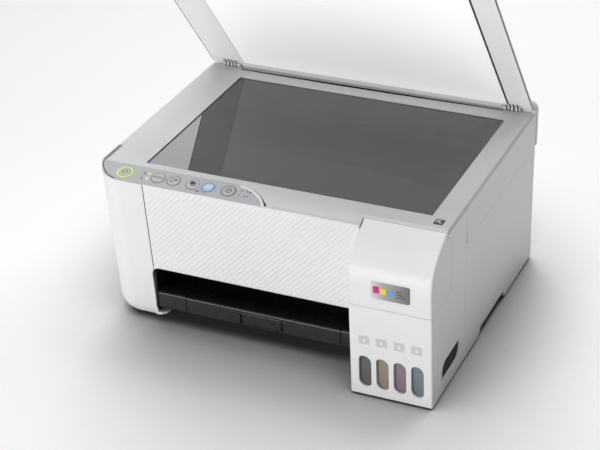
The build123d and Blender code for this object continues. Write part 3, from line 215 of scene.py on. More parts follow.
case_white = moulded("case_white", (0.80, 0.80, 0.80), 0.42)
panel_white = moulded("panel_white", (0.80, 0.80, 0.795), 0.50)
# painted shade: a dark grey that stands for the shade in the finger recess, in the groove along
# the frame's left edge and on the lid's shadowed side walls
painted_shade_dark = moulded("painted_shade_dark", (0.09, 0.092, 0.097), 0.5, grain=0.00001)
# painted shade: the frame is the same white plastic as case_white, made darker to stand for the
# lower light on the scanner's top
frame_white_shaded = moulded("frame_white_shaded", (0.62, 0.625, 0.64), 0.60)
# painted shade: the lid is the same white plastic as case_white, made darker to stand for the
# shade on its underside
lid_white_shaded = moulded("lid_white_shaded", (0.66, 0.665, 0.67), 0.50)
strip_grey = moulded("strip_grey", (0.47, 0.48, 0.495), 0.50, grain=0.00002, spread=0.02)
button_face = moulded("button_face", (0.50, 0.51, 0.525), 0.42, grain=0.00001)
button_blue = moulded("button_blue", (0.40, 0.60, 0.82), 0.40, grain=0.00001)
black_bay = moulded("black_bay", (0.017, 0.017, 0.018), 0.30, grain=0.00001, spread=0.10)
inner_black = moulded("inner_black", (0.020, 0.020, 0.021), 0.45, grain=0.00005, spread=0.12)
inner_grey = moulded("inner_grey", (0.10, 0.105, 0.11), 0.48, grain=0.00004, spread=0.05)
gear_white = moulded("gear_white", (0.55, 0.55, 0.52), 0.40, grain=0.00001, spread=0.03)
rubber = moulded("rubber", (0.018, 0.018, 0.019), 0.80, grain=0.00006, spread=0.2)
pad_white = moulded("pad_white", (0.92, 0.92, 0.915), 0.55, grain=0.00002, spread=0.008)
steel_x = metal("steel_x", (0.58, 0.59, 0.60), 0.32, 0)
motor_can = metal("motor_can", (0.42, 0.43, 0.45), 0.38, 1)
print_grey = moulded("print_grey", (0.045, 0.047, 0.052), 0.5, grain=0.00001)
print_light = moulded("print_light", (0.60, 0.60, 0.605), 0.5, grain=0.00001)
seam_dark = moulded("seam_dark", (0.05, 0.05, 0.052), 0.6, grain=0.00001)
# painted shade: near-black with almost no gloss, standing for the shadowed slot behind the
# scanner frame
slot_shade_black = moulded("slot_shade_black", (0.004, 0.004, 0.004), 0.9, grain=0.000003)
slot_shade_black.shader.inputs["Specular IOR Level"].default_value = 0.05
# painted shade: near-black for the shaded line where the glass meets the frame's recess
glass_shade_black = moulded("glass_shade_black", (0.006, 0.006, 0.006), 0.35, grain=0.000005, spread=0.1)

glass = Material("scanner_glass", (0.068, 0.069, 0.071), 0.012, IOR=1.52)
glass.shader.inputs["Transmission Weight"].default_value = 0.35
glass.vary_color(glass.noise(9, 2, (0.35, 3.2, 1.0)), 0.22)


def glowing(name, color, strength):
    made = Material(name, tuple(0.8 * c for c in color), 0.4)
    made.vary_color(made.noise(700, 2), 0.05)
    made.shader.inputs["Emission Color"].default_value = (*color, 1)
    made.shader.inputs["Emission Strength"].default_value = strength
    return made


glow_green = glowing("glow_green", (0.56, 0.80, 0.10), 0.30)
glow_lens = glowing("glow_lens", (0.72, 0.88, 0.12), 0.45)
glow_blue = glowing("glow_blue", (0.50, 0.74, 0.97), 0.25)
dim_lens = moulded("dim_lens", (0.30, 0.31, 0.32), 0.25, grain=0.000005)


INK_FADE = 0.55


def ink_tank(name, color):
    """Tank wall with ink behind it: slightly mottled, lighter towards the top."""
    made = Material(name, color, 0.22)
    lighter = tuple(min(1, c * 1.18 + 0.01) for c in color)
    darker = tuple(c * 0.86 for c in color)
    split = made.tree.nodes.new("ShaderNodeSeparateXYZ")
    made.tree.links.new(made.place, split.inputs[0])
    height = made.tree.nodes.new("ShaderNodeMapRange")
    low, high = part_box("ink_tank_black")
    height.inputs["From Min"].default_value = low.z
    height.inputs["From Max"].default_value = low.z + INK_FADE * (high.z - low.z)
    made.tree.links.new(split.outputs["Z"], height.inputs["Value"])
    mottle = made.tree.nodes.new("ShaderNodeMath")
    mottle.operation = "MULTIPLY_ADD"
    made.tree.links.new(made.noise(420, 3), mottle.inputs[0])
    mottle.inputs[1].default_value = 0.5
    made.tree.links.new(height.outputs["Result"], mottle.inputs[2])
    shade = made.ramp(mottle.outputs[0], [(0.1, (*darker, 1)), (0.8, (*lighter, 1))])
    made.tree.links.new(shade, made.shader.inputs["Base Color"])
    made.shader.inputs["Coat Weight"].default_value = 0.4
    made.shader.inputs["Coat Roughness"].default_value = 0.12
    made.bump(made.noise(900, 2), 0.00003, 0.4)
    return made


INKS = {
    "black": (0.095, 0.095, 0.098),
    "yellow": (0.245, 0.205, 0.155),
    "magenta": (0.215, 0.150, 0.180),
    "cyan": (0.145, 0.180, 0.215),
}
CAP_COLORS = {
    "black": (0.02, 0.02, 0.022),
    "yellow": (0.75, 0.56, 0.04),
    "magenta": (0.60, 0.05, 0.22),
    "cyan": (0.04, 0.33, 0.60),
}

board_green = Material("board_green", (0.015, 0.11, 0.05), 0.4)
tracks = board_green.tree.nodes.new("ShaderNodeTexBrick")
tracks.inputs["Scale"].default_value = 260
tracks.inputs["Color1"].default_value = (0.012, 0.10, 0.045, 1)
tracks.inputs["Color2"].default_value = (0.018, 0.13, 0.06, 1)
tracks.inputs["Mortar"].default_value = (0.03, 0.20, 0.09, 1)
board_green.tree.links.new(board_green.place, tracks.inputs["Vector"])
board_green.tree.links.new(tracks.outputs["Color"], board_green.shader.inputs["Base Color"])
board_green.bump(tracks.outputs["Fac"], 0.00005, 0.5)

NODE_LOOKS = {
    "base_pan": inner_black,
    "rubber_feet": rubber,
    "left_cover": case_white,
    "right_cover": case_white,
    "rear_cover": case_white,
    "feeder_housing": case_white,
    "front_panel": panel_white,
    "control_panel": strip_grey,
    "status_lights": dim_lens,
    "tank_housing": case_white,
    "tank_cover": case_white,
    "bay_housing": black_bay,
    "output_tray": black_bay,
    "tray_extension": inner_black,
    "paper_stopper": black_bay,
    "hopper_plate": inner_grey,
    "paper_support": inner_grey,
    "edge_guide_left": inner_grey,
    "edge_guide_right": inner_grey,
    "pickup_roller": rubber,
    "steel_chassis": steel_x,
    "carriage_rail": steel_x,
    "print_carriage": inner_black,
    "carriage_belt": rubber,
    "drive_pulley": gear_white,
    "belt_idler": gear_white,
    "carriage_motor": motor_can,
    "feed_motor": motor_can,
    "motor_pinion": gear_white,
    "feed_roller": steel_x,
    "idler_gear": gear_white,
    "exit_roller": inner_black,
    "platen": inner_black,
    "maintenance_station": inner_grey,
    "main_board": board_green,
    "power_supply": inner_grey,
    "power_inlet": inner_black,
    "usb_port": inner_black,
    "scanner_base": case_white,
    "hinge_brackets": steel_x,
    "scanner_frame": frame_white_shaded,
    "scanner_glass": glass,
    "sensor_bar": inner_black,
    "sensor_rod": steel_x,
    "lid_shell": lid_white_shaded,
    "lid_pad": pad_white,
    "power_button": button_face,
    "network_button": button_face,
    "info_button": button_face,
    "copy_mono_button": button_face,
    "copy_color_button": button_blue,
    "stop_button": button_face,
}
for ink, color in INKS.items():
    NODE_LOOKS[f"ink_tank_{ink}"] = ink_tank(f"tank_{ink}", color)
    NODE_LOOKS[f"ink_cap_{ink}"] = moulded(f"cap_{ink}", CAP_COLORS[ink], 0.5)

for node, look in NODE_LOOKS.items():
    mesh_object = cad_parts[node]
    if not mesh_object.data.materials:
        mesh_object.data.materials.append(look.material)
    for index in range(len(mesh_object.data.materials)):
        mesh_object.data.materials[index] = look.material

# ---------------------------------------------------------------- mesh helpers


def finish_piece(name, mesh, look, body, smooth=False):
    """Makes an object of a bmesh, gives it a look and a body to ride on."""
    data = bpy.data.meshes.new(name)
    bmesh.ops.recalc_face_normals(mesh, faces=mesh.faces)
    mesh.to_mesh(data)
    mesh.free()
    data.materials.append(look.material)
    piece = bpy.data.objects.new(name, data)
    bpy.context.scene.collection.objects.link(piece)
    if smooth:
        for polygon in data.polygons:
            polygon.use_smooth = True
    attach(piece, body)
    return piece


class Sheet:
    """A flat drawing surface: u and v run along it, w stands out of it, in millimetres."""

    def __init__(self, origin, u_axis, v_axis):
        self.origin = Vector(origin) * MM
        self.u = Vector(u_axis).normalized()
        self.v = Vector(v_axis).normalized()
        self.w = self.u.cross(self.v)

    def at(self, u, v, w=0.0):
        return self.origin + (self.u * u + self.v * v + self.w * w) * MM


def level(z):
    """A horizontal drawing surface at a height."""
    return Sheet((0, 0, z), (1, 0, 0), (0, 1, 0))


def loft(mesh, sections, closed=False):
    """Skins a row of sections with equally many corners and caps the ends of an open row."""
    pairs = list(zip(sections, sections[1:]))
    if closed:
        pairs.append((sections[-1], sections[0]))
    for one, two in pairs:
        for side in range(len(one)):
            following = (side + 1) % len(one)
            mesh.faces.new((one[side], one[following], two[following], two[side]))
    if not closed:
        mesh.faces.new(list(reversed(sections[0])))
        mesh.faces.new(sections[-1])


def on_circle(centre, radius, angle):
    return (centre[0] + radius * math.cos(angle), centre[1] + radius * math.sin(angle))


def prism(mesh, sheet, outline, low, high, bevel=0.0):
    """A plate with a closed outline of (u, v) points, its top edge bevelled."""
    count = len(outline)
    centre = Vector((sum(u for u, _ in outline) / count, sum(v for _, v in outline) / count))

    def ring(height, inset):
        points = []
        for u, v in outline:
            offset = Vector((u, v)) - centre
            length = offset.length or 1.0
            shrunk = centre + offset * max(0.0, (length - inset) / length)
            points.append(mesh.verts.new(sheet.at(shrunk.x, shrunk.y, height)))
        return points

    rings = [ring(low, 0), ring(high - bevel, 0)]
    if bevel:
        rings.append(ring(high, bevel))
    loft(mesh, rings)


def bar(mesh, sheet, across, along, low, high):
    """A plain block between two u values and two v values."""
    (u0, u1), (v0, v1) = across, along
    prism(mesh, sheet, [(u0, v0), (u1, v0), (u1, v1), (u0, v1)], low, high)


def ring_strip(mesh, sheet, centre, inner, outer, low, high, start=0.0, end=360.0, steps=56):
    """A flat ring or arc of rectangular section."""
    closed = abs(end - start) >= 360
    loops = []
    for index in range(steps if closed else steps + 1):
        angle = math.radians(start + (end - start) * index / steps)
        loop = []
        for radius, height in ((inner, low), (outer, low), (outer, high), (inner, high)):
            loop.append(mesh.verts.new(sheet.at(*on_circle(centre, radius, angle), height)))
        loops.append(loop)
    loft(mesh, loops, closed)


def cornered(width, height, radii, centre=(0.0, 0.0), steps=5):
    """Outline of a rectangle with a radius for each corner, from +u +v round to +u -v."""
    points = []
    signs = ((1, 1), (-1, 1), (-1, -1), (1, -1))
    for turn, ((su, sv), radius) in enumerate(zip(signs, radii)):
        corner = (centre[0] + su * (width / 2 - radius), centre[1] + sv * (height / 2 - radius))
        for step in range(steps + 1):
            angle = math.radians(90 * turn + 90 * step / steps)
            points.append(on_circle(corner, radius, angle))
    return points


def rounded(width, height, radius, centre=(0.0, 0.0)):
    """Outline of a rectangle with four equally rounded corners."""
    return cornered(width, height, (radius,) * 4, centre)


def drop(size, centre=(0.0, 0.0), steps=16):
    """Outline of an ink drop with its point up."""
    belly = (centre[0], centre[1] - 0.25 * size)
    points = [(centre[0], centre[1] + size)]
    for step in range(steps + 1):
        points.append(on_circle(belly, 0.55 * size, math.radians(150 + 240 * step / steps)))
    return points


def circle(radius, centre=(0.0, 0.0), steps=28):
    return [on_circle(centre, radius, 2 * math.pi * i / steps) for i in range(steps)]


def graphic(name, draw, look, body):
    """A raised print, inlay or detail drawn by a function on a bmesh."""
    mesh = bmesh.new()
    draw(mesh)
    return finish_piece(name, mesh, look, body)


def plate(name, sheet, outline, low, high, look, body, bevel=0.0):
    mesh = bmesh.new()
    prism(mesh, sheet, outline, low, high, bevel)
    return finish_piece(name, mesh, look, body)


# ---------------------------------------------------------------- ribbed skin of the front panel

panel_low, panel_high = (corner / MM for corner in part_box("front_panel"))
PANEL_LEAN = 0.115
PANEL_SCALE = math.hypot(1, PANEL_LEAN)
panel_sheet = Sheet((panel_low.x, panel_low.y, panel_high.z), (1, 0, 0), (0, -PANEL_LEAN, 1))
SKIN_MARGIN = 0.35
BAY_TOP = 72.0
RIB_PITCH = 6.1
RIB_HEIGHT = 0.60
RIB_SLANT = 0.98
RIB_MAIN, RIB_CROSS = 0.72, 0.28
RIB_FADE = 1.2
SKIN_LIFT = 0.10
SKIN_FOOT = 0.11
panel_width = panel_high.x - panel_low.x
panel_depth = (panel_high.z - BAY_TOP) * PANEL_SCALE


def panel_skin():
    """Fine slanting waves across the whole panel, with a plain rounded rim."""
    mesh = bmesh.new()
    width, depth = panel_width, panel_depth
    columns, rows = 360, 150
    grid = []
    for row in range(rows + 1):
        line = []
        v = -SKIN_MARGIN - (depth - 2 * SKIN_MARGIN) * row / rows
        for column in range(columns + 1):
            u = SKIN_MARGIN + (width - 2 * SKIN_MARGIN) * column / columns
            edge = min(u, width - u, -v, depth + v) - SKIN_MARGIN
            fade = min(1.0, max(0.0, edge / RIB_FADE))
            wave = 0.5 + 0.5 * math.cos(2 * math.pi * (u - RIB_SLANT * v) / RIB_PITCH)
            cross = 0.5 + 0.5 * math.cos(2 * math.pi * (u + RIB_SLANT * v) / RIB_PITCH)
            height = SKIN_LIFT + fade * RIB_HEIGHT * (RIB_MAIN * wave + RIB_CROSS * cross)
            line.append(mesh.verts.new(panel_sheet.at(u, v, height)))
        grid.append(line)
    for upper, lower in zip(grid, grid[1:]):
        for index in range(columns):
            mesh.faces.new((upper[index], lower[index], lower[index + 1], upper[index + 1]))
    rim = grid[0] + [line[-1] for line in grid[1:]] + list(reversed(grid[-1]))[1:]
    rim += [line[0] for line in reversed(grid)][1:-1]
    foot = []
    for vertex in rim:
        foot.append(mesh.verts.new(vertex.co - panel_sheet.w * SKIN_FOOT * MM))
    for index in range(len(rim)):
        following = (index + 1) % len(rim)
        mesh.faces.new((rim[index], rim[following], foot[following], foot[index]))
    return finish_piece("panel_ribbed_skin", mesh, panel_white, "case", smooth=True)


panel_skin()


def panel_seam(mesh):
    """Dark joint between the front panel and the column."""
    bar(mesh, panel_sheet, (-0.7, 0.33), (1.0 - panel_depth, -1.0), -1.2, 0.02)


graphic("panel_left_joint", panel_seam, seam_dark, "case")

# ---------------------------------------------------------------- control strip graphics

strip_low, strip_high = (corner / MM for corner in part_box("control_panel"))
STRIP_REAR = (-117.4, 180.0)
STRIP_FRONT = (-141.2, 174.5)
strip_run, strip_rise = STRIP_REAR[0] - STRIP_FRONT[0], STRIP_REAR[1] - STRIP_FRONT[1]
strip_direction = Vector((0, strip_run, strip_rise)).normalized()
strip_sheet = Sheet((0, *STRIP_REAR), (1, 0, 0), strip_direction)
INK_HEIGHT = 0.06
ICON_SCALE = 1.25
ICON_RISE = 0.5
ICON_SHIFT = 0.36


def strip_v(y):
    """Distance along the strip's slope for a given Y."""
    return (y - STRIP_REAR[0]) / strip_direction.y


def button_sheet(node):
    """A drawing surface on top of a button, centred on it."""
    low, high = (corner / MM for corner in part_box(node))
    x = (low.x + high.x) / 2
    y = (low.y + high.y) / 2 + ICON_SHIFT
    z = STRIP_REAR[1] + (y - STRIP_REAR[0]) * strip_direction.z / strip_direction.y
    surface = Sheet((x, y, z), (1, 0, 0), strip_direction)
    surface.origin += surface.w * ICON_RISE * MM
    surface.u *= ICON_SCALE
    surface.v *= ICON_SCALE
    return surface


BUTTON_CENTRE_Y = -128.8
centre_v = strip_v(BUTTON_CENTRE_Y)
POWER_X, NETWORK_X, INFO_X, MONO_X, COLOR_X, STOP_X = -155.2, -117.4, -100.5, -79.0, -62.3, -40.2

graphic(
    "power_light_ring",
    lambda m: ring_strip(m, strip_sheet, (POWER_X, centre_v), 6.45, 8.4, -0.2, 0.22),
    glow_green,
    "case",
)


def strip_outlines(mesh):
    """Printed outlines round the buttons."""
    for x, radius, width in ((NETWORK_X, 7.3, 0.32), (INFO_X, 7.0, 0.42), (STOP_X, 7.1, 0.7)):
        ring_strip(mesh, strip_sheet, (x, centre_v), radius, radius + width, 0.0, INK_HEIGHT)
    # the two copy buttons share one outline
    ring_strip(mesh, strip_sheet, (MONO_X, centre_v), 7.3, 7.7, 0.0, INK_HEIGHT, 55, 305, 40)
    ring_strip(mesh, strip_sheet, (COLOR_X, centre_v), 6.5, 6.95, 0.0, INK_HEIGHT)
    ring_strip(mesh, strip_sheet, (COLOR_X, centre_v), 8.6, 8.9, 0.0, INK_HEIGHT, 215, 275, 16)


graphic("strip_outlines", strip_outlines, print_grey, "case")


def strip_icons(mesh):
    """Small pictograms beside the status lights."""
    for x, y in ((-134.6, -125.2), (-134.9, -132.7)):
        v = strip_v(y)
        for radius in (0.7, 1.6, 2.5):
            wave = (x - 1.2, v - 1.0), radius, radius + 0.42
            ring_strip(mesh, strip_sheet, *wave, 0, INK_HEIGHT, 10, 80, 8)
        prism(mesh, strip_sheet, rounded(2.2, 0.7, 0.2, (x + 1.2, v - 1.6)), 0, INK_HEIGHT)
    prism(mesh, strip_sheet, drop(1.3, (-21.6, strip_v(-124.6))), 0, INK_HEIGHT)
    prism(mesh, strip_sheet, rounded(1.7, 2.2, 0.2, (-18.6, strip_v(-124.8))), 0, INK_HEIGHT)
    prism(mesh, strip_sheet, rounded(2.0, 1.5, 0.2, (-21.8, strip_v(-131.5))), 0, INK_HEIGHT)
    prism(mesh, strip_sheet, drop(1.3, (-18.7, strip_v(-131.4))), 0, INK_HEIGHT)
    # pointer under the copy buttons
    v = strip_v(-136.4)
    pointer = [(-73.2, v - 0.7), (-68.8, v - 0.9), (-69.4, v + 0.8), (-72.4, v + 1.0)]
    prism(mesh, strip_sheet, pointer, 0, INK_HEIGHT)


graphic("strip_icons", strip_icons, print_grey, "case")


def page(mesh, sheet, centre, size, thick):
    """Outline of a sheet of paper, drawn with four bars."""
    width, height = size
    u, v = centre
    for du, dv, w, h in (
        (0, height / 2, width, thick),
        (0, -height / 2, width, thick),
        (-width / 2, 0, thick, height + thick),
        (width / 2, 0, thick, height + thick),
    ):
        prism(mesh, sheet, rounded(w, h, thick * 0.3, (u + du, v + dv)), 0, INK_HEIGHT)


def power_icon(mesh):
    surface = button_sheet("power_button")
    ring_strip(mesh, surface, (0, -0.2), 1.9, 2.5, 0, INK_HEIGHT, 125, 415, 30)
    prism(mesh, surface, rounded(0.6, 2.6, 0.2, (0, 1.6)), 0, INK_HEIGHT)


def network_icon(mesh):
    surface = button_sheet("network_button")
    for index in range(4):
        prism(mesh, surface, rounded(1.5, 1.3, 0.3, (-3.6 + 2.4 * index, 0)), 0, INK_HEIGHT)


def info_icon(mesh):
    surface = button_sheet("info_button")
    page(mesh, surface, (-1.3, 0), (2.9, 3.9), 0.5)
    ring_strip(mesh, surface, (2.2, 0.6), 0.5, 1.25, 0, INK_HEIGHT, steps=20)


def copy_icon(mesh):
    surface = button_sheet("copy_mono_button")
    page(mesh, surface, (-0.9, 0.9), (3.4, 3.0), 0.7)
    page(mesh, surface, (0.6, -0.5), (3.4, 3.0), 0.7)
    prism(mesh, surface, rounded(2.8, 2.4, 0.3, (-0.9, 0.9)), 0, INK_HEIGHT)


def stop_icon(mesh):
    surface = button_sheet("stop_button")
    ring_strip(mesh, surface, (0, 0), 2.0, 2.7, 0, INK_HEIGHT, steps=32)
    prism(mesh, surface, [(-0.7, -0.9), (1.2, 0), (-0.7, 0.9)], 0, INK_HEIGHT)


def blue_icon(mesh):
    surface = button_sheet("copy_color_button")
    prism(mesh, surface, rounded(3.4, 3.0, 0.7, (-0.3, -0.3)), 0, INK_HEIGHT)
    prism(mesh, surface, rounded(2.2, 2.0, 0.5, (1.9, 1.6)), 0, INK_HEIGHT)


graphic("power_icon", power_icon, print_grey, "power_button")
graphic("network_icon", network_icon, print_grey, "network_button")
graphic("info_icon", info_icon, print_grey, "info_button")
graphic("copy_mono_icon", copy_icon, print_grey, "copy_mono_button")
graphic("stop_icon", stop_icon, print_grey, "stop_button")
graphic("copy_color_glow", blue_icon, glow_blue, "copy_color_button")

for index, (x, y) in enumerate(((-129.0, -125.1), (-128.6, -132.6))):
    plate(
        f"lit_lens_{index + 1}",
        strip_sheet,
        rounded(2.6, 2.6, 0.5, (x, strip_v(y))),
        0.08,
        0.3,
        glow_lens,
        "case",
        bevel=0.1,
    )


def circle_through(a, b, c):
    """Centre and radius of the circle through three points."""
    (ax, ay), (bx, by), (cx, cy) = a, b, c
    aa, bb, cc = ax**2 + ay**2, bx**2 + by**2, cx**2 + cy**2
    scale = 2 * (ax * (by - cy) + bx * (cy - ay) + cx * (ay - by))
    x = (aa * (by - cy) + bb * (cy - ay) + cc * (ay - by)) / scale
    y = (aa * (cx - bx) + bb * (ax - cx) + cc * (bx - ax)) / scale
    return (x, y), math.hypot(ax - x, ay - y)


def strip_arc(mesh, centre, first, last, steps, section):
    """Sweeps a section of (radius, lift) corners round an arc on the control strip."""
    sections = []
    for step in range(steps + 1):
        angle = first + (last - first) * step / steps
        corners = []
        for radius, lift in section:
            x, y = on_circle(centre, radius, angle)
            corners.append(mesh.verts.new(strip_sheet.at(x, strip_v(y), lift)))
        sections.append(corners)
    loft(mesh, sections)


def strip_rim(mesh):
    """Pale rim along the strip's curved right end."""
    end = strip_high.x
    rear, middle, front = (end - 35, -117.4), (end - 16.5, -123.6), (end, -141.2)
    centre, radius = circle_through(rear, middle, front)
    first = math.atan2(rear[1] - centre[1], rear[0] - centre[0])
    last = math.atan2(front[1] - centre[1], front[0] - centre[0])
    inner, outer = radius - 2.6, radius + 0.25
    section = ((inner, -0.1), (outer, -0.6), (outer, 0.15), (inner, 0.25))
    strip_arc(mesh, centre, first, last, 36, section)


graphic("strip_end_rim", strip_rim, case_white, "case")


def strip_left_line(mesh):
    """Dark joint round the strip's rounded left end."""
    radius = 32.0
    centre = (strip_low.x + radius, STRIP_FRONT[0] + radius)
    inner, outer = radius - 1.0, radius + 0.1
    section = ((inner, -0.1), (outer, -0.3), (outer, 0.05), (inner, 0.10))
    strip_arc(mesh, centre, math.radians(196), math.radians(258), 30, section)


graphic("strip_left_line", strip_left_line, seam_dark, "case")

# ---------------------------------------------------------------- tank unit details

TANK_FOOT_Y, TANK_HEAD_Y = -167.3, -172.2
TANK_FOOT_Z, TANK_HEAD_Z = 3.0, 106.0
TANK_LEAN = (TANK_FOOT_Y - TANK_HEAD_Y) / (TANK_HEAD_Z - TANK_FOOT_Z)
tank_front = Sheet((0, TANK_FOOT_Y, TANK_FOOT_Z), (1, 0, 0), (0, -TANK_LEAN, 1))
FIRST_TANK_X = 118.6
TANK_PITCH = 17.95


MARK_CENTRE_V = 64.5

for index, ink in enumerate(INKS):
    mark_u = FIRST_TANK_X + TANK_PITCH * index - 0.4
    square = rounded(10.8, 9.6, 1.0, (mark_u, MARK_CENTRE_V))
    ink_drop = drop(2.6, (mark_u, MARK_CENTRE_V - 0.2))
    plate(
        f"ink_mark_{ink}", tank_front, square, -0.1, 0.28, print_light, "case", 0.2
    )
    plate(
        f"ink_mark_drop_{ink}", tank_front, ink_drop, 0.2, 0.42, case_white, "case"
    )

BADGE_SHADE_X = (0.126, 0.166)
badge_metal = Material("badge_metal", (0.42, 0.42, 0.43), 0.30, Metallic=0.75)
badge_split = badge_metal.tree.nodes.new("ShaderNodeSeparateXYZ")
badge_metal.tree.links.new(badge_metal.place, badge_split.inputs[0])
badge_range = badge_metal.tree.nodes.new("ShaderNodeMapRange")
badge_range.inputs["From Min"].default_value = BADGE_SHADE_X[0]
badge_range.inputs["From Max"].default_value = BADGE_SHADE_X[1]
badge_metal.tree.links.new(badge_split.outputs["X"], badge_range.inputs["Value"])
badge_color = badge_metal.ramp(
    badge_range.outputs["Result"],
    [(0.0, (0.78, 0.78, 0.78, 1)), (0.35, (0.45, 0.45, 0.45, 1)), (1.0, (0.20, 0.20, 0.205, 1))],
)
badge_metal.tree.links.new(badge_color, badge_metal.shader.inputs["Base Color"])
badge_metal.bump(badge_metal.noise(1500, 2, (1, 1, 0.05)), 0.00001, 0.4)
badge_pink = moulded("badge_pink", (0.62, 0.02, 0.25), 0.3, grain=0.000004)
badge_yellow = moulded("badge_yellow", (0.86, 0.66, 0.03), 0.3, grain=0.000004)
badge_blue = moulded("badge_blue", (0.10, 0.38, 0.78), 0.3, grain=0.000004)
badge_ink = moulded("badge_ink", (0.10, 0.10, 0.11), 0.35, grain=0.000004)
badge_sheet = Sheet((146.2, -173.35, 127.6), (1, 0, 0), (0, -0.035, 1))
plate(
    "badge_plate",
    badge_sheet,
    rounded(39.5, 18.6, 2.2),
    -0.6,
    0.5,
    badge_metal,
    "tank_cover",
    0.25,
)
for index, look in enumerate((badge_pink, badge_yellow, badge_blue)):
    plate(
        f"badge_drop_{index + 1}",
        badge_sheet,
        rounded(6.4, 7.6 - 1.2 * index, 1.0, (-14.0 + 7.0 * index, 0.9 - 0.6 * index)),
        0.45,
        0.75,
        look,
        "tank_cover",
    )


def badge_bars(mesh):
    """Plain level marks at the badge's right."""
    for index in range(3):
        centre = (11.2 - 1.2 * index, -3.2 + 3.0 * index)
        prism(mesh, badge_sheet, rounded(10.5 - 2.4 * index, 1.2, 0.5, centre), 0.45, 0.65)


graphic("badge_level_marks", badge_bars, badge_ink, "tank_cover")

side_sheet = Sheet((186.2, -115.75, 28.0), (0, 1, 0), (0, 0, 1))
side_black = moulded("side_black", (0.003, 0.008, 0.011), 0.45, grain=0.000003, spread=0.1)
side_black.shader.inputs["Specular IOR Level"].default_value = 0.12

# two corners of the side window are sharp and two are well rounded
window = cornered(48.9, 18.4, (0.01, 10.7, 0.01, 10.7), steps=10)
plate("side_window_lens", side_sheet, window, -1.2, 0.0, side_black, "case")

SIDE_JOINT_Y, SIDE_JOINT_Z, SIDE_JOINT_RADIUS = 144.0, 171.0, 219.0
SIDE_JOINT_X = (181.5, 186.85)
SIDE_JOINT_HALF = 0.14
SIDE_JOINT_FOOT, SIDE_JOINT_RISE = 137, 38


def side_joint_back(mesh):
    """Pale backing behind the curved joint between tank cover and right cover."""
    x0, x1 = SIDE_JOINT_X
    sections = []
    for step in range(13):
        z = SIDE_JOINT_FOOT + SIDE_JOINT_RISE * step / 12
        y = SIDE_JOINT_Y - math.sqrt(SIDE_JOINT_RADIUS**2 - (z - SIDE_JOINT_Z) ** 2)
        y0, y1 = y - SIDE_JOINT_HALF, y + SIDE_JOINT_HALF
        corners = ((x0, y0), (x1, y0), (x1, y1), (x0, y1))
        sections.append([mesh.verts.new(Vector((*corner, z)) * MM) for corner in corners])
    loft(mesh, sections)


graphic("side_joint_back", side_joint_back, case_white, "case")


def column_lip(mesh):
    """White lip that turns under the bay from the foot of the column."""
    outline = [(-134, -123.4), (-128, -122), (-124, -117.8), (-122.5, -112), (-134, -112)]
    prism(mesh, level(6.0), outline, 5.4, 7.6, 0.5)


graphic("column_lip", column_lip, case_white, "case")

# ---------------------------------------------------------------- scanner details

_, glass_high = (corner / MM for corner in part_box("scanner_glass"))
FRAME_TOP = 180.0
top_sheet = level(FRAME_TOP)
OPENING_X = (-142.0, 163.7)
OPENING_Y = (-107.5, 114.3)


def glass_outline_shade(mesh):
    """Black line on the glass along all four sides of the opening: painted shade where the glass
    meets the frame's recess.
    """
    x0, x1 = OPENING_X
    y0, y1 = OPENING_Y
    for across, along in (
        ((x0, x1), (y1 - 1.0, y1)),
        ((x0, x0 + 1.6), (y0, y1 - 1.0)),
        ((x1 - 1.0, x1), (y0, y1 - 1.0)),
        ((x0 + 1.6, x1 - 1.0), (y0, y0 + 0.8)),
    ):
        bar(mesh, level(glass_high.z), across, along, 0.004, 0.02)


graphic("glass_outline_shade", glass_outline_shade, glass_shade_black, "scanner")


def scanner_lining(mesh):
    """Dark lining of the scanner's inside, below the glass."""
    surface = level(142.5)
    prism(mesh, surface, rounded(362, 254, 1, (0, 18)), 0.05, 0.6)
    for wall_x in (-181.3, 180.7):
        bar(mesh, surface, (wall_x, wall_x + 0.6), (-108, 144), 0.6, 14)
    for rib in range(7):
        rib_y = -92 + 34 * rib
        if abs(rib_y - 2) > 14:
            prism(mesh, surface, rounded(352, 2.4, 0.8, (0, rib_y)), 0.6, 3.0, 0.6)


graphic("scanner_lining", scanner_lining, inner_black, "scanner")

mark_sheet = Sheet((174.0, -117.2, FRAME_TOP), (1, 0, 0), (0.02, 1, 0))
mark_black = moulded("mark_black", (0.03, 0.03, 0.032), 0.4, grain=0.000004)
mark_white = moulded("mark_white", (0.62, 0.62, 0.62), 0.4, grain=0.000004)
mark_outline = rounded(9.6, 10.4, 1.6)
plate("corner_mark", mark_sheet, mark_outline, 0.0, 0.14, mark_black, "scanner")


def corner_arrow(mesh):
    """Arrow towards the glass corner where a sheet is laid."""
    head = [(-3.0, 3.2), (1.6, 3.2), (1.6, 2.0), (-1.8, 2.0), (-1.8, -1.4), (-3.0, -1.4)]
    shaft = [(-2.4, 1.8), (-1.6, 2.6), (2.8, -2.4), (2.0, -3.2)]
    for outline in (head, shaft):
        prism(mesh, mark_sheet, outline, 0.1, 0.2)


graphic("corner_mark_arrow", corner_arrow, mark_white, "scanner")


def frame_marks(mesh):
    """Short size ticks along the glass's front and right edges."""
    for x in (-98, -43, 50, 118):
        prism(mesh, top_sheet, rounded(0.7, 2.2, 0.2, (x, OPENING_Y[0] - 3.2)), 0.0, 0.05)
    for y in (-66, 40, 92):
        prism(mesh, top_sheet, rounded(2.2, 0.7, 0.2, (OPENING_X[1] + 3.4, y)), 0.0, 0.05)


graphic("frame_marks", frame_marks, print_light, "scanner")

# painted shade: a dark plate fills the finger recess, whose white plastic lies in shadow
plate(
    "finger_recess_shade",
    top_sheet,
    rounded(4.2, 36, 1.6, (-185.1, -99.0)),
    -1.6,
    0.12,
    painted_shade_dark,
    "scanner",
    0.3,
)


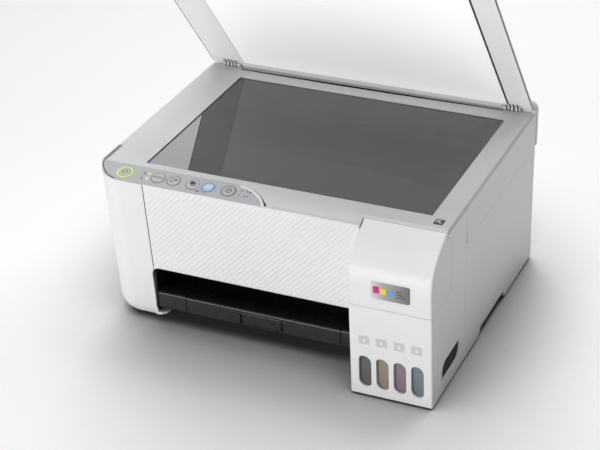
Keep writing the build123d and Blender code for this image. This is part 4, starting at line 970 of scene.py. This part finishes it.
def left_edge_shade(mesh):
    """Painted shade: a fine dark plate in the groove along the frame's left edge, behind the
    finger recess.
    """
    prism(mesh, top_sheet, rounded(0.8, 212, 0.3, (-186.7, 26)), -1.4, -0.45)


graphic("left_edge_shade", left_edge_shade, painted_shade_dark, "scanner")


def rear_slot_shade(mesh):
    """Painted shade: a dark plate on the frame where the slot between it and the lid's rear edge
    lies in shadow, narrowing to its ends.
    """
    front = [(-150, 132.6), (-115, 132.2), (-42, 131.6), (30, 132.0), (62, 132.8)]
    front += [(110, 134.0), (155, 135.2)]
    rear = [(155, 136.6), (-150, 134.4)]
    prism(mesh, top_sheet, front + rear, -0.3, 0.15)


graphic("rear_slot_shade", rear_slot_shade, slot_shade_black, "scanner")

# ---------------------------------------------------------------- lid details

LID_AXIS_Y, LID_AXIS_Z = 141.3, 181.6
LID_OPEN = math.radians(51.1)
lid_up = Vector((0, math.sin(LID_OPEN), math.cos(LID_OPEN)))
lid_back = Vector((0, math.cos(LID_OPEN), -math.sin(LID_OPEN)))
LID_UNDER_DROP = 0.7
lid_axis = Vector((0, LID_AXIS_Y, LID_AXIS_Z))
lid_under = Sheet(lid_axis - lid_up * LID_UNDER_DROP, (1, 0, 0), -lid_back)

PAD_X = (-146.2, 159.1)
PAD_V = (9.0, 254.0)


def pad_foam_and_shade(mesh):
    """Dark foam edge of the pad under its white sheet, with painted shade filling the gaps round
    the pad.
    """
    x0, x1 = PAD_X
    v0, v1 = PAD_V
    for across, along in (
        ((x1, x1 + 1.3), (v0 - 0.5, v1 + 0.5)),
        ((x0, x1), (v1, v1 + 0.5)),
        ((x0, x1), (v0 - 0.9, v0)),
    ):
        bar(mesh, lid_under, across, along, -3.7, 0.35)


graphic("pad_foam_and_shade_edge", pad_foam_and_shade, seam_dark, "lid")


def pad_side_strip(mesh):
    """White strip that closes the gap along the pad's left edge."""
    bar(mesh, lid_under, (PAD_X[0] - 2.1, PAD_X[0] - 0.05), PAD_V, -3.5, -0.05)


graphic("pad_side_strip", pad_side_strip, lid_white_shaded, "lid")


def lid_edge_shade(mesh):
    """Thin painted shade along the lid's left and right edges, where the lid's side walls lie in
    shadow.
    """
    for across in ((-187.0, -186.2), (185.9, 187.0)):
        bar(mesh, lid_under, across, (4.0, 257.0), 0.0, 0.12)


graphic("lid_edge_painted_shade", lid_edge_shade, painted_shade_dark, "lid")

COMB_X = 164.0
COMB_PITCH = 4.1
KNUCKLE_INNER, KNUCKLE_OUTER = 4.02, 4.5


def comb_slits(mesh):
    """Dark slits between the hinge fingers: on the lid and round the hinge's knuckles."""
    for side in (-1, 1):
        for slit in (-1.5, -0.5, 0.5, 1.5):
            centre = (side * COMB_X + slit * COMB_PITCH, 6.0)
            prism(mesh, lid_under, rounded(1.4, 9.6, 0.5, centre), 0.0, 0.16)
            knuckle = Sheet((centre[0], LID_AXIS_Y, LID_AXIS_Z), (0, 1, 0), (0, 0, 1))
            ring_strip(mesh, knuckle, (0, 0), KNUCKLE_INNER, KNUCKLE_OUTER, -0.6, 0.6, steps=40)


def comb_ribs(mesh):
    """Rounded ends of the hinge fingers."""
    for side in (-1, 1):
        for rib in (-2, -1, 0, 1, 2):
            centre = (side * COMB_X + rib * COMB_PITCH, 6.3)
            prism(mesh, lid_under, rounded(2.5, 9.6, 1.1, centre), 0.0, 0.7, 0.3)


graphic("comb_slits", comb_slits, seam_dark, "lid")
graphic("comb_ribs", comb_ribs, lid_white_shaded, "lid")

# lid_fill lights nothing but the lid's shell and pad
lid_group = bpy.data.collections.new("lid_group")
for node in ("lid_shell", "lid_pad"):
    lid_group.objects.link(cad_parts[node])
lid_fill.light_linking.receiver_collection = lid_group

# ---------------------------------------------------------------- carriage and inside details


FIRST_DAMPER, DAMPER_PITCH = 8.8, 17.5
carriage_low, _ = (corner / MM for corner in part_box("print_carriage"))

# four ink dampers stand in the print carriage
for index, ink in enumerate(INKS):
    damper_x = carriage_low.x + FIRST_DAMPER + DAMPER_PITCH * index
    base = Sheet((damper_x, -23, 70.5), (1, 0, 0), (0, 1, 0))
    mesh = bmesh.new()
    prism(mesh, base, rounded(13.4, 38, 2), 0, 30, 1.2)
    prism(mesh, base, circle(3.2, (0, -9)), 30, 38, 0.6)
    prism(mesh, base, circle(1.9, (0, -9)), 38, 42, 0.4)
    damper_look = NODE_LOOKS[f"ink_cap_{ink}"]
    finish_piece(f"ink_damper_{ink}", mesh, damper_look, "carriage")


SCREW_RADIUS = 2.6


def screws(name, places, normal, look, body):
    """Cross-head screws: a bevelled head with its cross drawn by two thin raised bars."""
    mesh = bmesh.new()
    u_axis = Vector((0, 0, 1)) if abs(normal[2]) < 0.5 else Vector((1, 0, 0))
    v_axis = Vector(normal).cross(u_axis)
    for place in places:
        surface = Sheet(place, u_axis, v_axis)
        prism(mesh, surface, circle(SCREW_RADIUS, steps=24), -0.2, 1.1, 0.5)
        long, short = SCREW_RADIUS * 1.3, SCREW_RADIUS * 0.32
        for width, height in ((long, short), (short, long)):
            prism(mesh, surface, rounded(width, height, 0.1), 1.1, 1.25)
    return finish_piece(name, mesh, look, body)


_, rear_high = (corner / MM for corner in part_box("rear_cover"))
screws(
    "rear_screws",
    [(x, rear_high.y, z) for x, z in ((-148, 12), (-148, 125), (112, 12), (112, 125))],
    (0, 1, 0),
    inner_grey,
    "case",
)
_, chassis_high = (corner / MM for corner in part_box("steel_chassis"))
screws(
    "chassis_screws",
    [(x, 24, chassis_high.z) for x in (-150, -60, 60, 120)],
    (0, 0, 1),
    steel_x,
    "case",
)

# ---------------------------------------------------------------- floor

FLOOR_WHITE = 0.97
FLOOR_REACH = 0.30
FLOOR_HALF = 7
floor_material = Material("floor", (FLOOR_WHITE,) * 3, 0.85)
occlusion = floor_material.tree.nodes.new("ShaderNodeAmbientOcclusion")
occlusion.samples = 12
occlusion.inputs["Distance"].default_value = FLOOR_REACH
shade = floor_material.ramp(
    occlusion.outputs["AO"],
    [
        (0.28, (0.20, 0.20, 0.20, 1)),
        (0.58, (0.58, 0.58, 0.58, 1)),
        (0.88, (FLOOR_WHITE,) * 3 + (1,)),
    ],
)
floor_material.tree.links.new(shade, floor_material.shader.inputs["Base Color"])
floor_mesh = bmesh.new()
bmesh.ops.create_grid(floor_mesh, x_segments=2, y_segments=2, size=FLOOR_HALF)
floor_data = bpy.data.meshes.new("floor")
floor_mesh.to_mesh(floor_data)
floor_mesh.free()
floor_data.materials.append(floor_material.material)
floor = bpy.data.objects.new("floor", floor_data)
bpy.context.scene.collection.objects.link(floor)
floor_group = bpy.data.collections.new("floor_group")
floor_group.objects.link(floor)
floor_wash.light_linking.receiver_collection = floor_group
